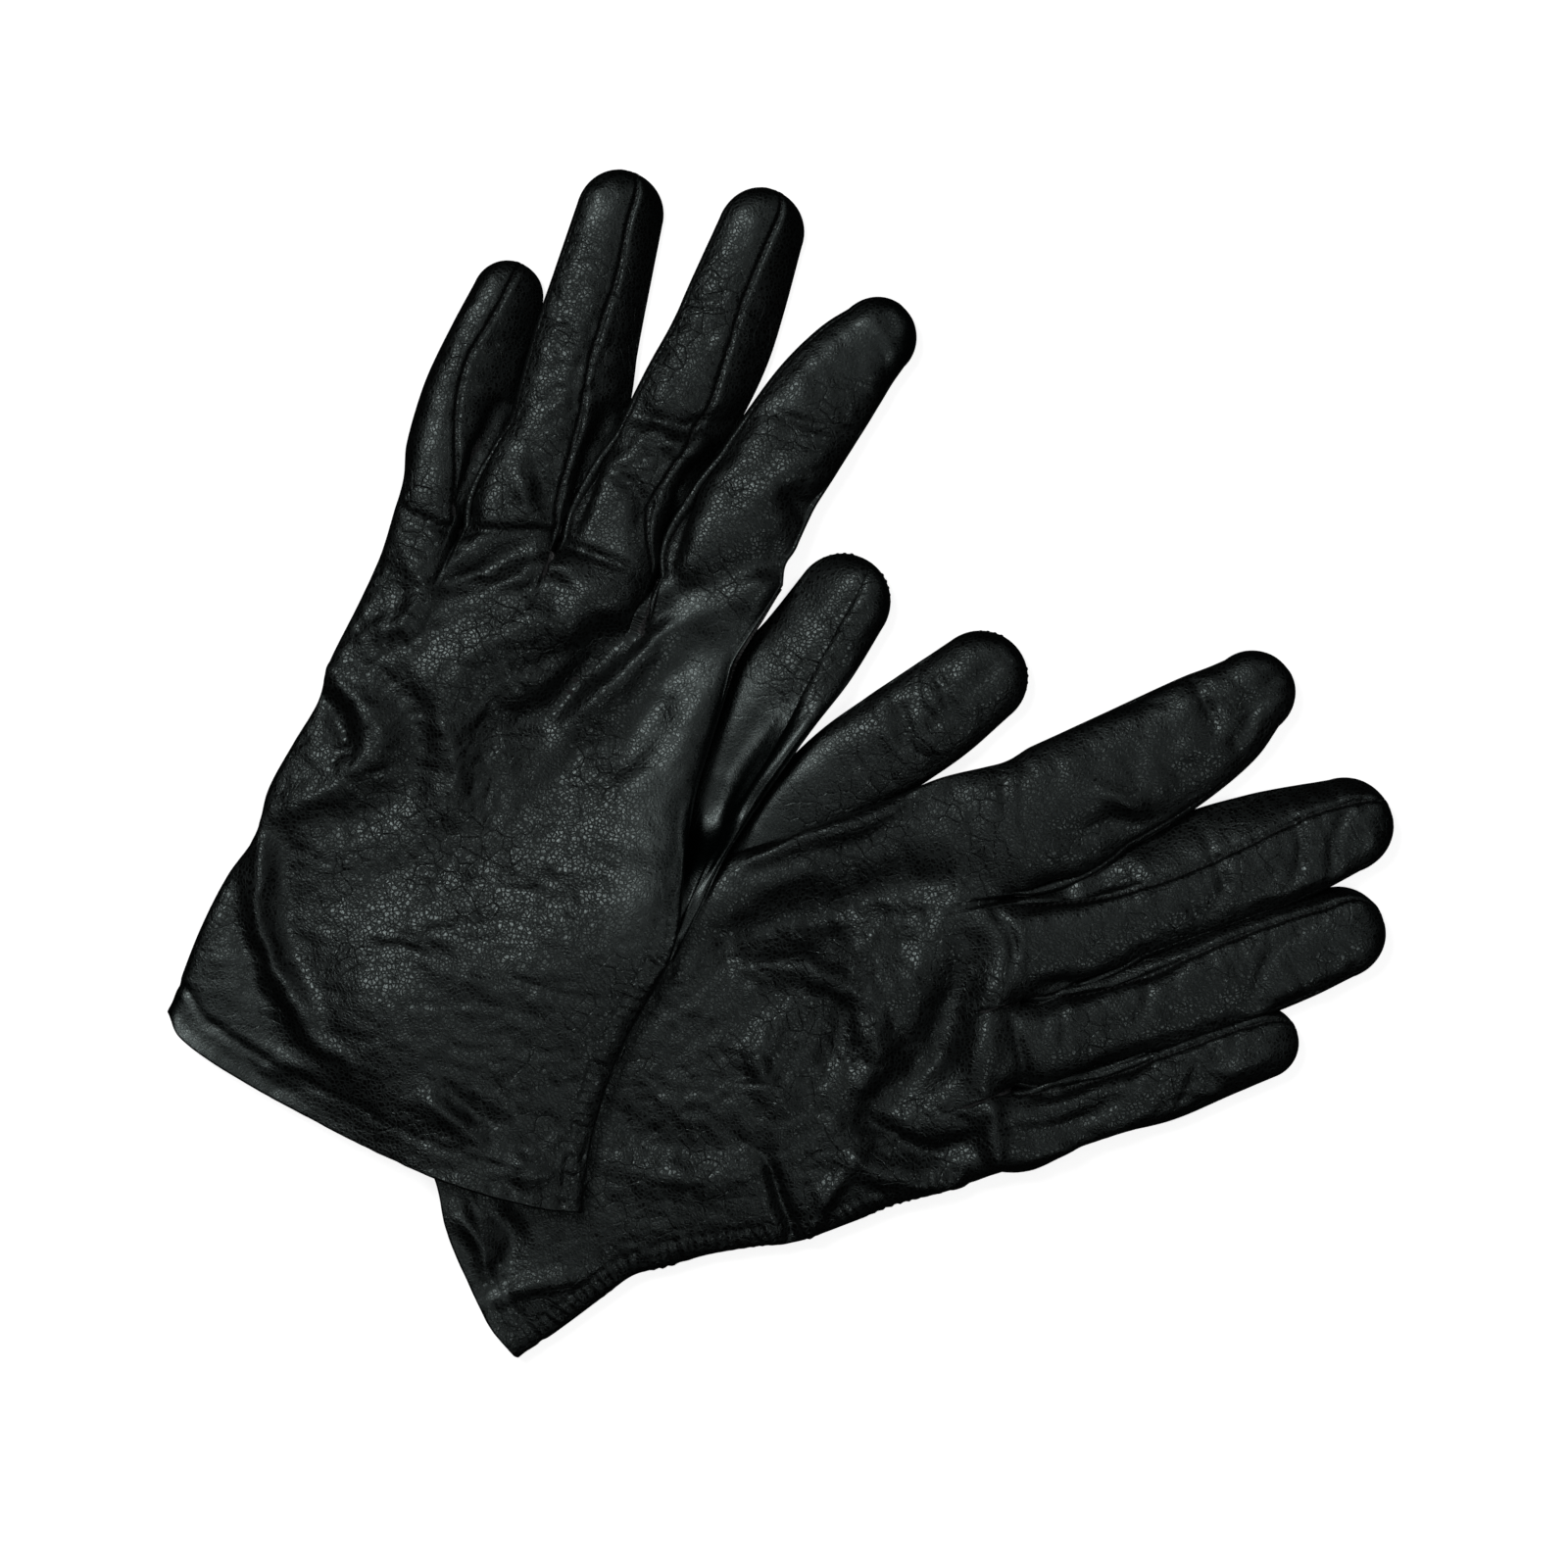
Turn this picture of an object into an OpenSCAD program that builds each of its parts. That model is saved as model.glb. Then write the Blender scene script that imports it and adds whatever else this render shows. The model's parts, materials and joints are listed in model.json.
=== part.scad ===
// A pair of plain leather dress gloves, back side up. The right glove lies flat and the left one
// lies across its cuff. Each glove is sewn from back, palm and side pieces over a soft lining.
// Seen from above, +X runs to the right, +Y towards the left glove's fingertips and +Z up. Plan
// positions are in millimetres.

/* [Leather] */
// Thickness of the leather
leather_t = 0.9; // [0.7:0.1:1.1]
// Thickness of the lining
lining_t = 0.6; // [0.4:0.1:0.8]
// Air between leather and lining
lining_gap = 0.4; // [0.3:0.1:0.5]
// Half the thickness of a seam's thread
thread_r = 0.35; // [0.2:0.05:0.4]

/* [Height of the parts as they lie] */
// Height of a cuff
cuff_h = 10; // [9:0.5:11]
// Height of a hand at the knuckles
hand_h = 13; // [12:0.5:14]
// Height of a finger at its root
finger_h = 12.5; // [11:0.5:13]
// Height of a finger at its tip
tip_h = 10; // [9:0.5:11]
// Height of a thumb
thumb_h = 9; // [8:0.5:10]
// Height that the left glove is lifted by the cuff below it
cross_h = 12.6; // [12.4:0.1:14]

/* [Hidden] */
// Middle of the pair in plan, which becomes the origin
centre = [-0.32, -0.22];
// A section is an oval with this exponent: 2 is an ellipse
oval = 2.4;
// Part of a section's height that is cut off flat underneath
flat_part = 0.06;
// Half the angle that a seam leaves open between two pieces
seam_a = 4;
// Angle of a finger's upper side seam above its edge
side_a = 34;
// Sections of a digit from its root to where its round tip starts
body_rows = 5;
// Places of the sections round a tip: 0 where it starts, 90 its very end
tip_angles = [32, 57, 76];
// Squares across the back or the palm of a hand
hand_steps = 14;
// Half the width of the right hand under the left glove, and the slope beside it
cross_reach = 50;
cross_slope = 24;

function unit(v) = v / norm(v);
function right_of(v) = [v.y, -v.x];
function mix(a, b, t) = a + (b - a) * t;
function clamp(t) = max(0, min(1, t));
function smooth(t) = clamp(t) * clamp(t) * (3 - 2 * clamp(t));
function along(p, a, b) = clamp((p - a) * (b - a) / ((b - a) * (b - a)));
function reach(p, a, b) = norm(p - mix(a, b, along(p, a, b)));
// A rise that is level up to flat from the line a-b and has faded out after fade more
function pad(p, a, b, flat, fade, rise) = rise * (1 - smooth((reach(p, a, b) - flat) / fade));

// ---- where things lie, in plan ----

// A hand is a list of sections from cuff to knuckles: left edge, right edge, height, bulge.
// Left and right are as seen along the fingers.
left_hand_rows = [
    [[-147, -60], [-47, -107], cuff_h, -8],
    [[-139, -40], [-44, -87], cuff_h + 0.5, -6],
    [[-127, -18], [-36, -64], cuff_h + 1, -4],
    [[-118, 2], [-25, -42], hand_h - 1.5, -2],
    [[-109, 20], [-20, -15], hand_h - 1, 0],
    [[-101, 39], [-14, 10], hand_h - 0.5, 0],
    [[-92, 61], [-2, 37], hand_h, 0]];
right_hand_rows = [
    [[-103, -55], [-63, -142.5], cuff_h, 0],
    [[-78, -46], [-42, -128], cuff_h + 0.5, 0],
    [[-50, -36], [-17, -118], cuff_h + 1, 0],
    [[-22, -25], [5, -115], hand_h - 1.5, 0],
    [[5, -15], [28, -106], hand_h - 1, 0],
    [[27, -8], [43, -101], hand_h - 0.5, 0],
    [[50, -1], [54, -98], hand_h, 4]];

// A finger: name, root, middle and centre of the tip, half width at those three places,
// whether it has a side strip on its left and on its right.
left_fingers = [
    ["little", [-84.5, 62.5], [-80, 89], [-68, 112], [8.4, 8.6, 8], false, true],
    ["ring", [-62.5, 58.5], [-52, 90], [-38.5, 132], [9.8, 10.8, 10], true, true],
    ["middle", [-39, 52.5], [-25.5, 86], [-4, 128], [11, 11.8, 10], true, true],
    ["index", [-14, 44.5], [3.5, 76.5], [24, 102.5], [11.8, 12.2, 9.6], true, false]];
right_fingers = [
    ["little", [58, -89], [84, -81], [117, -67], [8.4, 8.4, 7.8], true, false],
    ["ring", [62, -68.5], [94, -57.5], [134.5, -40.5], [9.4, 9.6, 9], true, true],
    ["middle", [62.5, -45.5], [98, -34], [136.5, -14], [10.6, 10.8, 9.8], true, true],
    ["index", [58.5, -17.5], [84, -6.5], [112.5, 15.5], [12.6, 13.2, 10.4], false, true]];

// A thumb: root under the hand's edge, hinge, middle, centre of the tip, half width at those last three
left_thumb = [[-14, -8], [-1, 14], [7, 26], [15.5, 39], [9.6, 10.6, 11]];
right_thumb = [[4, -12], [19, 2], [32, 11.5], [48, 20.5], [9.6, 10.6, 11]];

// The middle of the right glove's cuff and hand, which the left glove lies over
right_middle_line = [[-82, -99], [10, -54]];

// Height of what a part lies on, at a place in plan
function cross_lift(p) =
    pad(p, right_middle_line[0], right_middle_line[1], cross_reach, cross_slope, cross_h);
function left_lift(p) = cross_lift(p) + pad(p, left_thumb[0], left_thumb[3], 10, 14, 4);
function right_lift(p) = pad(p, right_thumb[0], right_thumb[1], 7, 16, 8);
function left_thumb_lift(p) = 0.7 * cross_lift(p);
function lift(base, p) = base == "left" ? left_lift(p)
    : base == "right" ? right_lift(p)
    : base == "left thumb" ? left_thumb_lift(p) : 0;

// ---- sections and solids ----

// A row is [left edge, right edge, height, bulge, height of its underside, what it lies on]
function hand_section_rows(rows, base) = [for (i = [0:0.5:len(rows) - 1]) let (a = rows[floor(i)],
        b = rows[ceil(i)]) [for (k = [0:3]) (a[k] + b[k]) / 2, 0, base]];

// Rows of a finger or thumb: a curve through root, middle and tip, and then a round end
function curve(a, b, c, t) = let (m = 2 * b - (a + c) / 2)
    (1 - t) * (1 - t) * a + 2 * t * (1 - t) * m + t * t * c;
function digit_row(p, d, half, h, under, base) =
    [p - right_of(d) * half, p + right_of(d) * half, h, 0, under, base];
function digit_rows(a, b, c, halves, h_a, h_c, base) =
    let (end = unit(c - curve(a, b, c, 0.98)), half_c = halves[2])
    concat(
        [for (i = [0:body_rows - 1]) let (t = i / (body_rows - 1),
                d = unit(curve(a, b, c, t + 0.01) - curve(a, b, c, t - 0.01)))
            digit_row(curve(a, b, c, t), d, curve(halves[0], halves[1], half_c, t),
                mix(h_a, h_c, t), 0, base)],
        [for (v = tip_angles) let (h = h_c * pow(cos(v), 0.7))
            digit_row(c + end * half_c * sin(v), end, half_c * cos(v), h, (h_c - h) * 0.4, base)]);

function oval_part(v) = sign(v) * pow(abs(v), 2 / oval);
// The point of a row's section at angle a, inset from its outside: 0 is the right edge, 90 the top
function section_point(row, a, inset) =
    let (left = row[0], right = row[1], h = row[2] - 2 * inset, out = (right - left) / 2,
        c = oval_part(cos(a)),
        plan = (left + right) / 2 + out * c * (1 - inset / norm(out))
            + [-unit(out).y, unit(out).x] * row[3] * (1 - c * c),
        up = max(0, (1 + oval_part(sin(a))) / 2 * (1 + flat_part) - flat_part))
    [plan.x - centre.x, plan.y - centre.y, lift(row[5], plan) + row[4] + inset + h * up];

// Two triangles for the square a, b, c, d, which runs clockwise as seen from outside
function square_faces(a, b, c, d) = [[a, b, c], [a, c, d]];
// Triangles between rows of points, from point number first on, each row a closed loop. From column
// turned on the squares are cut along their other diagonal, to match those on a sheet's far side.
function loop_faces(first, rows, cols, inward = false, turned = 1000) = [
    for (r = [0:rows - 2], k = [0:cols - 1]) let (a = first + r * cols + k,
            b = first + r * cols + (k + 1) % cols)
        each inward ? square_faces(a, a + cols, b + cols, b)
            : k < turned ? square_faces(a, b, b + cols, a + cols)
            : square_faces(b, b + cols, a + cols, a)];
// Triangles across the end of a strip, whose loop runs out along one side and back along the other
function strip_end_faces(first, cols, last) = [
    for (k = [0:cols / 2 - 2]) let (a = first + k, b = first + cols - 1 - k)
        each last ? square_faces(a, a + 1, b - 1, b) : square_faces(a, b, b - 1, a + 1)];
// Triangles from a closed loop to a point in its middle
function fan_faces(first, cols, middle, last) = [
    for (k = [0:cols - 1]) let (a = first + k, b = first + (k + 1) % cols)
        last ? [b, middle, a] : [a, middle, b]];

// A curved sheet of leather over the rows, from one angle to another: angles has a pair for each row
module sheet(rows, angles, steps, thick, inset = 0) {
    loops = [for (i = [0:len(rows) - 1]) [
        for (k = [0:steps]) section_point(rows[i], mix(angles[i][0], angles[i][1], k / steps), inset),
        for (k = [steps:-1:0])
            section_point(rows[i], mix(angles[i][0], angles[i][1], k / steps), inset + thick)]];
    cols = 2 * (steps + 1);
    polyhedron([for (l = loops) each l], concat(
        loop_faces(0, len(rows), cols, turned = steps + 1),
        strip_end_faces(0, cols, false),
        strip_end_faces((len(rows) - 1) * cols, cols, true)));
}

// Angles of a ring that has a corner wherever the back and palm sheets over it have one
function ring(steps) = [for (side = [0, 180], k = [0:steps])
    side + mix(seam_a, 180 - seam_a, k / steps)];

// A tube over the rows, open at its first row, and at its last row open or closed to a round end
module tube(rows, angles, thick, inset, closed) {
    steps = len(angles);
    inner_rows = closed ? len(rows) - 1 : len(rows);
    outer = [for (row = rows) each [for (a = angles) section_point(row, a, inset)]];
    inner = [for (r = [0:inner_rows - 1]) each
        [for (a = angles) section_point(rows[r], a, inset + thick)]];
    n = len(outer);
    outer_end = n - steps;
    inner_end = n + len(inner) - steps;
    middle = n + len(inner);
    rim = [for (k = [0:steps - 1]) let (b = (k + 1) % steps) each square_faces(k, n + k, n + b, b)];
    far_rim = [for (k = [0:steps - 1]) let (b = (k + 1) % steps)
        each square_faces(inner_end + k, outer_end + k, outer_end + b, inner_end + b)];
    ends = [mean([for (k = [0:steps - 1]) outer[outer_end + k]]),
        mean([for (k = [0:steps - 1]) inner[inner_end - n + k]])];
    polyhedron(concat(outer, inner, closed ? ends : []), concat(
        loop_faces(0, len(rows), steps),
        loop_faces(n, inner_rows, steps, true),
        rim,
        closed ? concat(fan_faces(outer_end, steps, middle, true),
            fan_faces(inner_end, steps, middle + 1, false)) : far_rim));
}
function total(v, i = 0) = i == len(v) - 1 ? v[i] : v[i] + total(v, i + 1);
function mean(v) = total(v) / len(v);

// A thread along the rows at an angle of each row's section
module thread(rows, angles) {
    loops = [for (i = [0:len(rows) - 1]) let (p = section_point(rows[i], angles[i], leather_t / 2),
            out = unit(rows[i][1] - rows[i][0]) * thread_r)
        [[p.x + out.x, p.y + out.y, p.z], [p.x, p.y, p.z + thread_r],
            [p.x - out.x, p.y - out.y, p.z], [p.x, p.y, p.z - thread_r]]];
    polyhedron([for (l = loops) each l], concat(
        loop_faces(0, len(rows), 4),
        strip_end_faces(0, 4, false),
        strip_end_faces((len(rows) - 1) * 4, 4, true)));
}

// ---- pieces of a digit ----

// How far above its edge the upper seam of a side runs, at each row: it reaches the edge at the tip
function seam_angle(i, count, strip) = strip ? side_a * (1 - i / (count - 1)) : 0;
function upper(rows, strip) = [for (i = [0:len(rows) - 1]) seam_angle(i, len(rows), strip)];
function first_rows(rows, count) = [for (i = [0:count - 1]) rows[i]];

// The back or the palm sheet: side is 1 for the back and -1 for the palm
module digit_sheet(rows, left_strip, right_strip, side) {
    left = upper(rows, left_strip);
    right = upper(rows, right_strip);
    turn = side > 0 ? 0 : 180;
    angles = [for (i = [0:len(rows) - 1]) side > 0
        ? [right[i] + seam_a, 180 - left[i] - seam_a]
        : [180 + left[i] + seam_a, 360 - right[i] - seam_a]];
    sheet(rows, angles, 5, leather_t);
}

// The narrow side pieces of a finger, between the seams of its back and its palm
module side_strips(rows, left_strip, right_strip) {
    used = first_rows(rows, len(rows) - 2);
    a = [for (i = [0:len(used) - 1]) seam_angle(i, len(rows), true) - seam_a];
    if (right_strip) sheet(used, [for (v = a) [-v, v]], 2, leather_t);
    if (left_strip) sheet(used, [for (v = a) [180 - v, 180 + v]], 2, leather_t);
}

// The threads along a digit's seams: two above, and one more below beside each side piece
module digit_threads(rows, left_strip, right_strip) {
    used = first_rows(rows, len(rows) - 2);
    whole = first_rows(rows, len(rows) - 1);
    thread(whole, upper(rows, right_strip));
    thread(whole, [for (v = upper(rows, left_strip)) 180 - v]);
    if (right_strip) thread(used, [for (i = [0:len(used) - 1]) -seam_angle(i, len(rows), true)]);
    if (left_strip) thread(used, [for (i = [0:len(used) - 1]) 180 + seam_angle(i, len(rows), true)]);
}

module digit_lining(rows) {
    tube(first_rows(rows, len(rows) - 1), ring(5), lining_t, leather_t + lining_gap, true);
}

function finger_rows(f, base) =
    digit_rows(f[1], f[2], f[3], f[4], finger_h, tip_h, base);
function thumb_rows(t, base) =
    digit_rows(t[1], t[2], t[3], t[4], thumb_h, thumb_h, base);
// The fixed root of a thumb, from under the hand's edge to just short of the hinge
function thumb_root_rows(t, base) = let (d = unit(t[1] - t[0]), far = t[1] - d * 1.5) [
    digit_row(t[0], d, t[4][0] - 1, thumb_h - 1.5, 0, base),
    digit_row(mix(t[0], far, 0.5), d, t[4][0] - 0.4, thumb_h - 0.8, 0, base),
    digit_row(far, d, t[4][0], thumb_h, 0, base)];

// ---- sub-parts ----

module hand_back(rows) {
    color("#17191a") sheet(rows, [for (r = rows) [seam_a, 180 - seam_a]], hand_steps, leather_t);
}
module hand_palm(rows) {
    color("#141617") sheet(rows, [for (r = rows) [180 + seam_a, 360 - seam_a]], hand_steps, leather_t);
}
module hand_lining(rows) {
    color("#3a3432") tube(rows, ring(hand_steps), lining_t, leather_t + lining_gap, false);
}
module side_seam_threads(rows) {
    color("#08090a") {
        thread(rows, [for (r = rows) 0]);
        thread(rows, [for (r = rows) 180]);
    }
}
module finger_back(f, base) {
    color("#17191a") digit_sheet(finger_rows(f, base), f[5], f[6], 1);
}
module finger_palm(f, base) {
    color("#141617") digit_sheet(finger_rows(f, base), f[5], f[6], -1);
}
module finger_fourchettes(f, base) {
    color("#101213") side_strips(finger_rows(f, base), f[5], f[6]);
}
module finger_lining(f, base) {
    color("#3a3432") digit_lining(finger_rows(f, base));
}
module finger_threads(f, base) {
    color("#08090a") digit_threads(finger_rows(f, base), f[5], f[6]);
}
module thumb_back(t, base) {
    color("#17191a") digit_sheet(thumb_rows(t, base), false, false, 1);
}
module thumb_palm(t, base) {
    color("#141617") digit_sheet(thumb_rows(t, base), false, false, -1);
}
module thumb_lining(t, base) {
    color("#3a3432") digit_lining(thumb_rows(t, base));
}
module thumb_threads(t, base) {
    color("#08090a") digit_threads(thumb_rows(t, base), false, false);
}
module thumb_root(t, base) {
    color("#17191a") tube(thumb_root_rows(t, base), ring(7), leather_t, 0, false);
}

// ---- the pair ----

// Each glove: name, hand, fingers, thumb, what its hand and its thumb lie on
GLOVES = [
    ["right", hand_section_rows(right_hand_rows, "right"), right_fingers, right_thumb, "table"],
    ["left", hand_section_rows(left_hand_rows, "left"), left_fingers, left_thumb, "left thumb"]];
HAND_PIECES = ["hand_back", "hand_palm", "hand_lining", "side_seam_threads"];
FINGER_PIECES = ["back", "palm", "fourchettes", "lining", "threads"];
THUMB_PIECES = ["thumb_root", "thumb_back", "thumb_palm", "thumb_lining", "thumb_threads"];

for (g = GLOVES) {
    side = g[0];
    rows = g[1];
    hand_back(rows);
    hand_palm(rows);
    hand_lining(rows);
    side_seam_threads(rows);
    for (f = g[2]) {
        name = str(side, "_", f[0]);
        finger_back(f, side);
        finger_palm(f, side);
        finger_fourchettes(f, side);
        finger_lining(f, side);
        finger_threads(f, side);
    }
    thumb_root(g[3], g[4]);
    thumb_back(g[3], g[4]);
    thumb_palm(g[3], g[4]);
    thumb_lining(g[3], g[4]);
    thumb_threads(g[3], g[4]);
}
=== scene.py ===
"""A pair of leather dress gloves: the looks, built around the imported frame.

Plan positions are in millimetres in the frame's own X and Y. Each glove is lofted in rows that run
across it: the hand from the cuff to the knuckles, then each finger from the knuckles to its tip. A
column keeps its number from the cuff to a fingertip, so hand and fingers are one sheet of leather
that is cut into pieces only at the knuckles, where the fingers fold.
"""
import json
import math

import bpy
import numpy as np
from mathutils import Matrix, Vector

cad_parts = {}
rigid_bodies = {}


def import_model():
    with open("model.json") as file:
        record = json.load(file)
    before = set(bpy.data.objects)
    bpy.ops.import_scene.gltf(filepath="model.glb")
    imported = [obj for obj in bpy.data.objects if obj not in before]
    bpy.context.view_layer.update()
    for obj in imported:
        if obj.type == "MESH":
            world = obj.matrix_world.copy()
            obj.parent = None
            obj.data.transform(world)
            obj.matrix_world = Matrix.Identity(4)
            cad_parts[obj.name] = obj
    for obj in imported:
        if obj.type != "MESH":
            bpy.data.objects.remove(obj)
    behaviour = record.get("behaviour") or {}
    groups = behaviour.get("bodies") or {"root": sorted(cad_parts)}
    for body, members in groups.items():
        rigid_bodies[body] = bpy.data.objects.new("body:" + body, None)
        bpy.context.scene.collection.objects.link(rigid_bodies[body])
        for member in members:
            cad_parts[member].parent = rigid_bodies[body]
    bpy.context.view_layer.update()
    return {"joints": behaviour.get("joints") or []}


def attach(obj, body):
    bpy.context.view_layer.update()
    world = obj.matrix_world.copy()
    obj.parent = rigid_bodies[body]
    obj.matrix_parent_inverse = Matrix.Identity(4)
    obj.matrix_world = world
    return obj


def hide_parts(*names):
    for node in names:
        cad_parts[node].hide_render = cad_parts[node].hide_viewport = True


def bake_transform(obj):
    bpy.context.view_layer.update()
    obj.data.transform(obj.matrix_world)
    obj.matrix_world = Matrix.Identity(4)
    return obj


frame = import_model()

MM = 0.001
RIM = 1.2                 # thickness of leather and lining together at a cuff's mouth
STITCH = 1.7              # from one stitch of a seam to the next
GRAIN_SEED = 7

# Columns of a finger: over the left side strip, over the back, over the right side strip
LEFT_COLS, BACK_COLS, RIGHT_COLS = 9, 22, 13
FINGER_COLS = LEFT_COLS + BACK_COLS + RIGHT_COLS
PALM_COLS = 12            # columns below each finger
ROW_STEP = 0.85           # from one row to the next
TIP_ROWS = 17             # rows round a finger's tip
BODY_POINTS = 400         # points along a finger's middle line
AHEAD_POINTS = 6          # of them, how many each way its direction is taken over
SETTLE_LENGTH = 15        # over which a finger's rows turn from its root chord to its own direction
NO_SEAM, EDGE_SEAM = 0.97, 0.93   # places across a finger, out of 1, of no seam and of a seam on its edge
SEAM_BLUR = 9             # rows that a seam's place is averaged over
SWELL, SWELL_LENGTH = 0.16, 26    # how much wider a finger is near its root on the side of another finger
WIDEST = 0.36             # height of a glove's widest level, out of its whole height
LOWEST = 0.05             # no leather lies lower than this
BEND_LENGTH = 14          # of a finger's root, over which its leather bends
LINING_GAP = 0.5          # between leather and lining
HEM_ROWS = 15             # rows of the band that is turned into a cuff's mouth
HEM_GRAIN_SHIFT = 500     # so that the band's grain isn't the outer leather's


# ---------------------------------------------------------------- numbers along lines

def smooth(t):
    t = np.clip(t, 0.0, 1.0)
    return t * t * (3 - 2 * t)


def spline(points, count, spacing=None):
    """A Catmull-Rom curve through points, resampled to count points at even lengths."""
    p = np.array(points, float)
    ends = np.vstack([2 * p[0] - p[1], p, 2 * p[-1] - p[-2]])
    t = np.linspace(0, 1, 24, endpoint=False)[:, None]
    parts = []
    for a, b, c, d in zip(ends, ends[1:], ends[2:], ends[3:]):
        parts.append(0.5 * (2 * b + (c - a) * t + (2 * a - 5 * b + 4 * c - d) * t ** 2
                            + (3 * b - a - 3 * c + d) * t ** 3))
    fine = np.vstack(parts + [p[-1:]])
    length = np.concatenate([[0], np.cumsum(np.linalg.norm(np.diff(fine[:, :2], axis=0), axis=1))])
    at = (np.linspace(0, 1, count) if spacing is None else spacing) * length[-1]
    return np.stack([np.interp(at, length, fine[:, k]) for k in range(fine.shape[1])], axis=1)


def distance_to(line, x, y):
    """Distance in plan from points to a line of points, and how far along it (0 to 1) the nearest is."""
    best = np.full(x.shape, 1e9)
    where = np.zeros(x.shape)
    line = np.asarray(line, float)
    steps = len(line) - 1
    for k in range(steps):
        a, d = line[k, :2], line[k + 1, :2] - line[k, :2]
        t = np.clip(((x - a[0]) * d[0] + (y - a[1]) * d[1]) / (d @ d), 0, 1)
        gap = np.hypot(x - a[0] - t * d[0], y - a[1] - t * d[1])
        nearer = gap < best
        best = np.where(nearer, gap, best)
        where = np.where(nearer, (k + t) / steps, where)
    return best, where


LATTICE_SIDE = 64
SEED_LAYER = 5            # of a lattice, where the pattern of cells takes its seeds


def lattice(seed):
    return np.random.default_rng(seed).uniform(-1, 1, (LATTICE_SIDE, LATTICE_SIDE, LATTICE_SIDE))


LATTICES = [lattice(GRAIN_SEED + k) for k in range(3)]


def noise(p, size, layer=0):
    """Smooth noise from -1 to 1 at points p (n x 3), with features about size across."""
    q = p / size + 17.3 * (layer + 1)
    cell = np.floor(q).astype(int)
    f = smooth(q - cell)
    grid = LATTICES[layer % len(LATTICES)]
    total = np.zeros(len(p))
    for dx in (0, 1):
        for dy in (0, 1):
            for dz in (0, 1):
                weight = ((f[:, 0] if dx else 1 - f[:, 0]) * (f[:, 1] if dy else 1 - f[:, 1])
                          * (f[:, 2] if dz else 1 - f[:, 2]))
                at = (cell + (dx, dy, dz)) % LATTICE_SIDE
                total += weight * grid[at[:, 0], at[:, 1], at[:, 2]]
    return total


def cells(p, size):
    """Distance from points p to the border between the two nearest seeds of a pattern of cells."""
    q = p / size
    cell = np.floor(q).astype(int)
    nearest = np.full(len(p), 9.0)
    second = np.full(len(p), 9.0)
    for dx in (-1, 0, 1):
        for dy in (-1, 0, 1):
            c = cell[:, :2] + (dx, dy)
            at = c % LATTICE_SIDE
            seed = [0.5 + 0.45 * LATTICES[k][at[:, 0], at[:, 1], SEED_LAYER] for k in (0, 1)]
            gap = np.hypot(c[:, 0] + seed[0] - q[:, 0], c[:, 1] + seed[1] - q[:, 1])
            second = np.minimum(second, np.maximum(nearest, gap))
            nearest = np.minimum(nearest, gap)
    return (second - nearest) * size / 2


# ---------------------------------------------------------------- the gloves in plan

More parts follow.
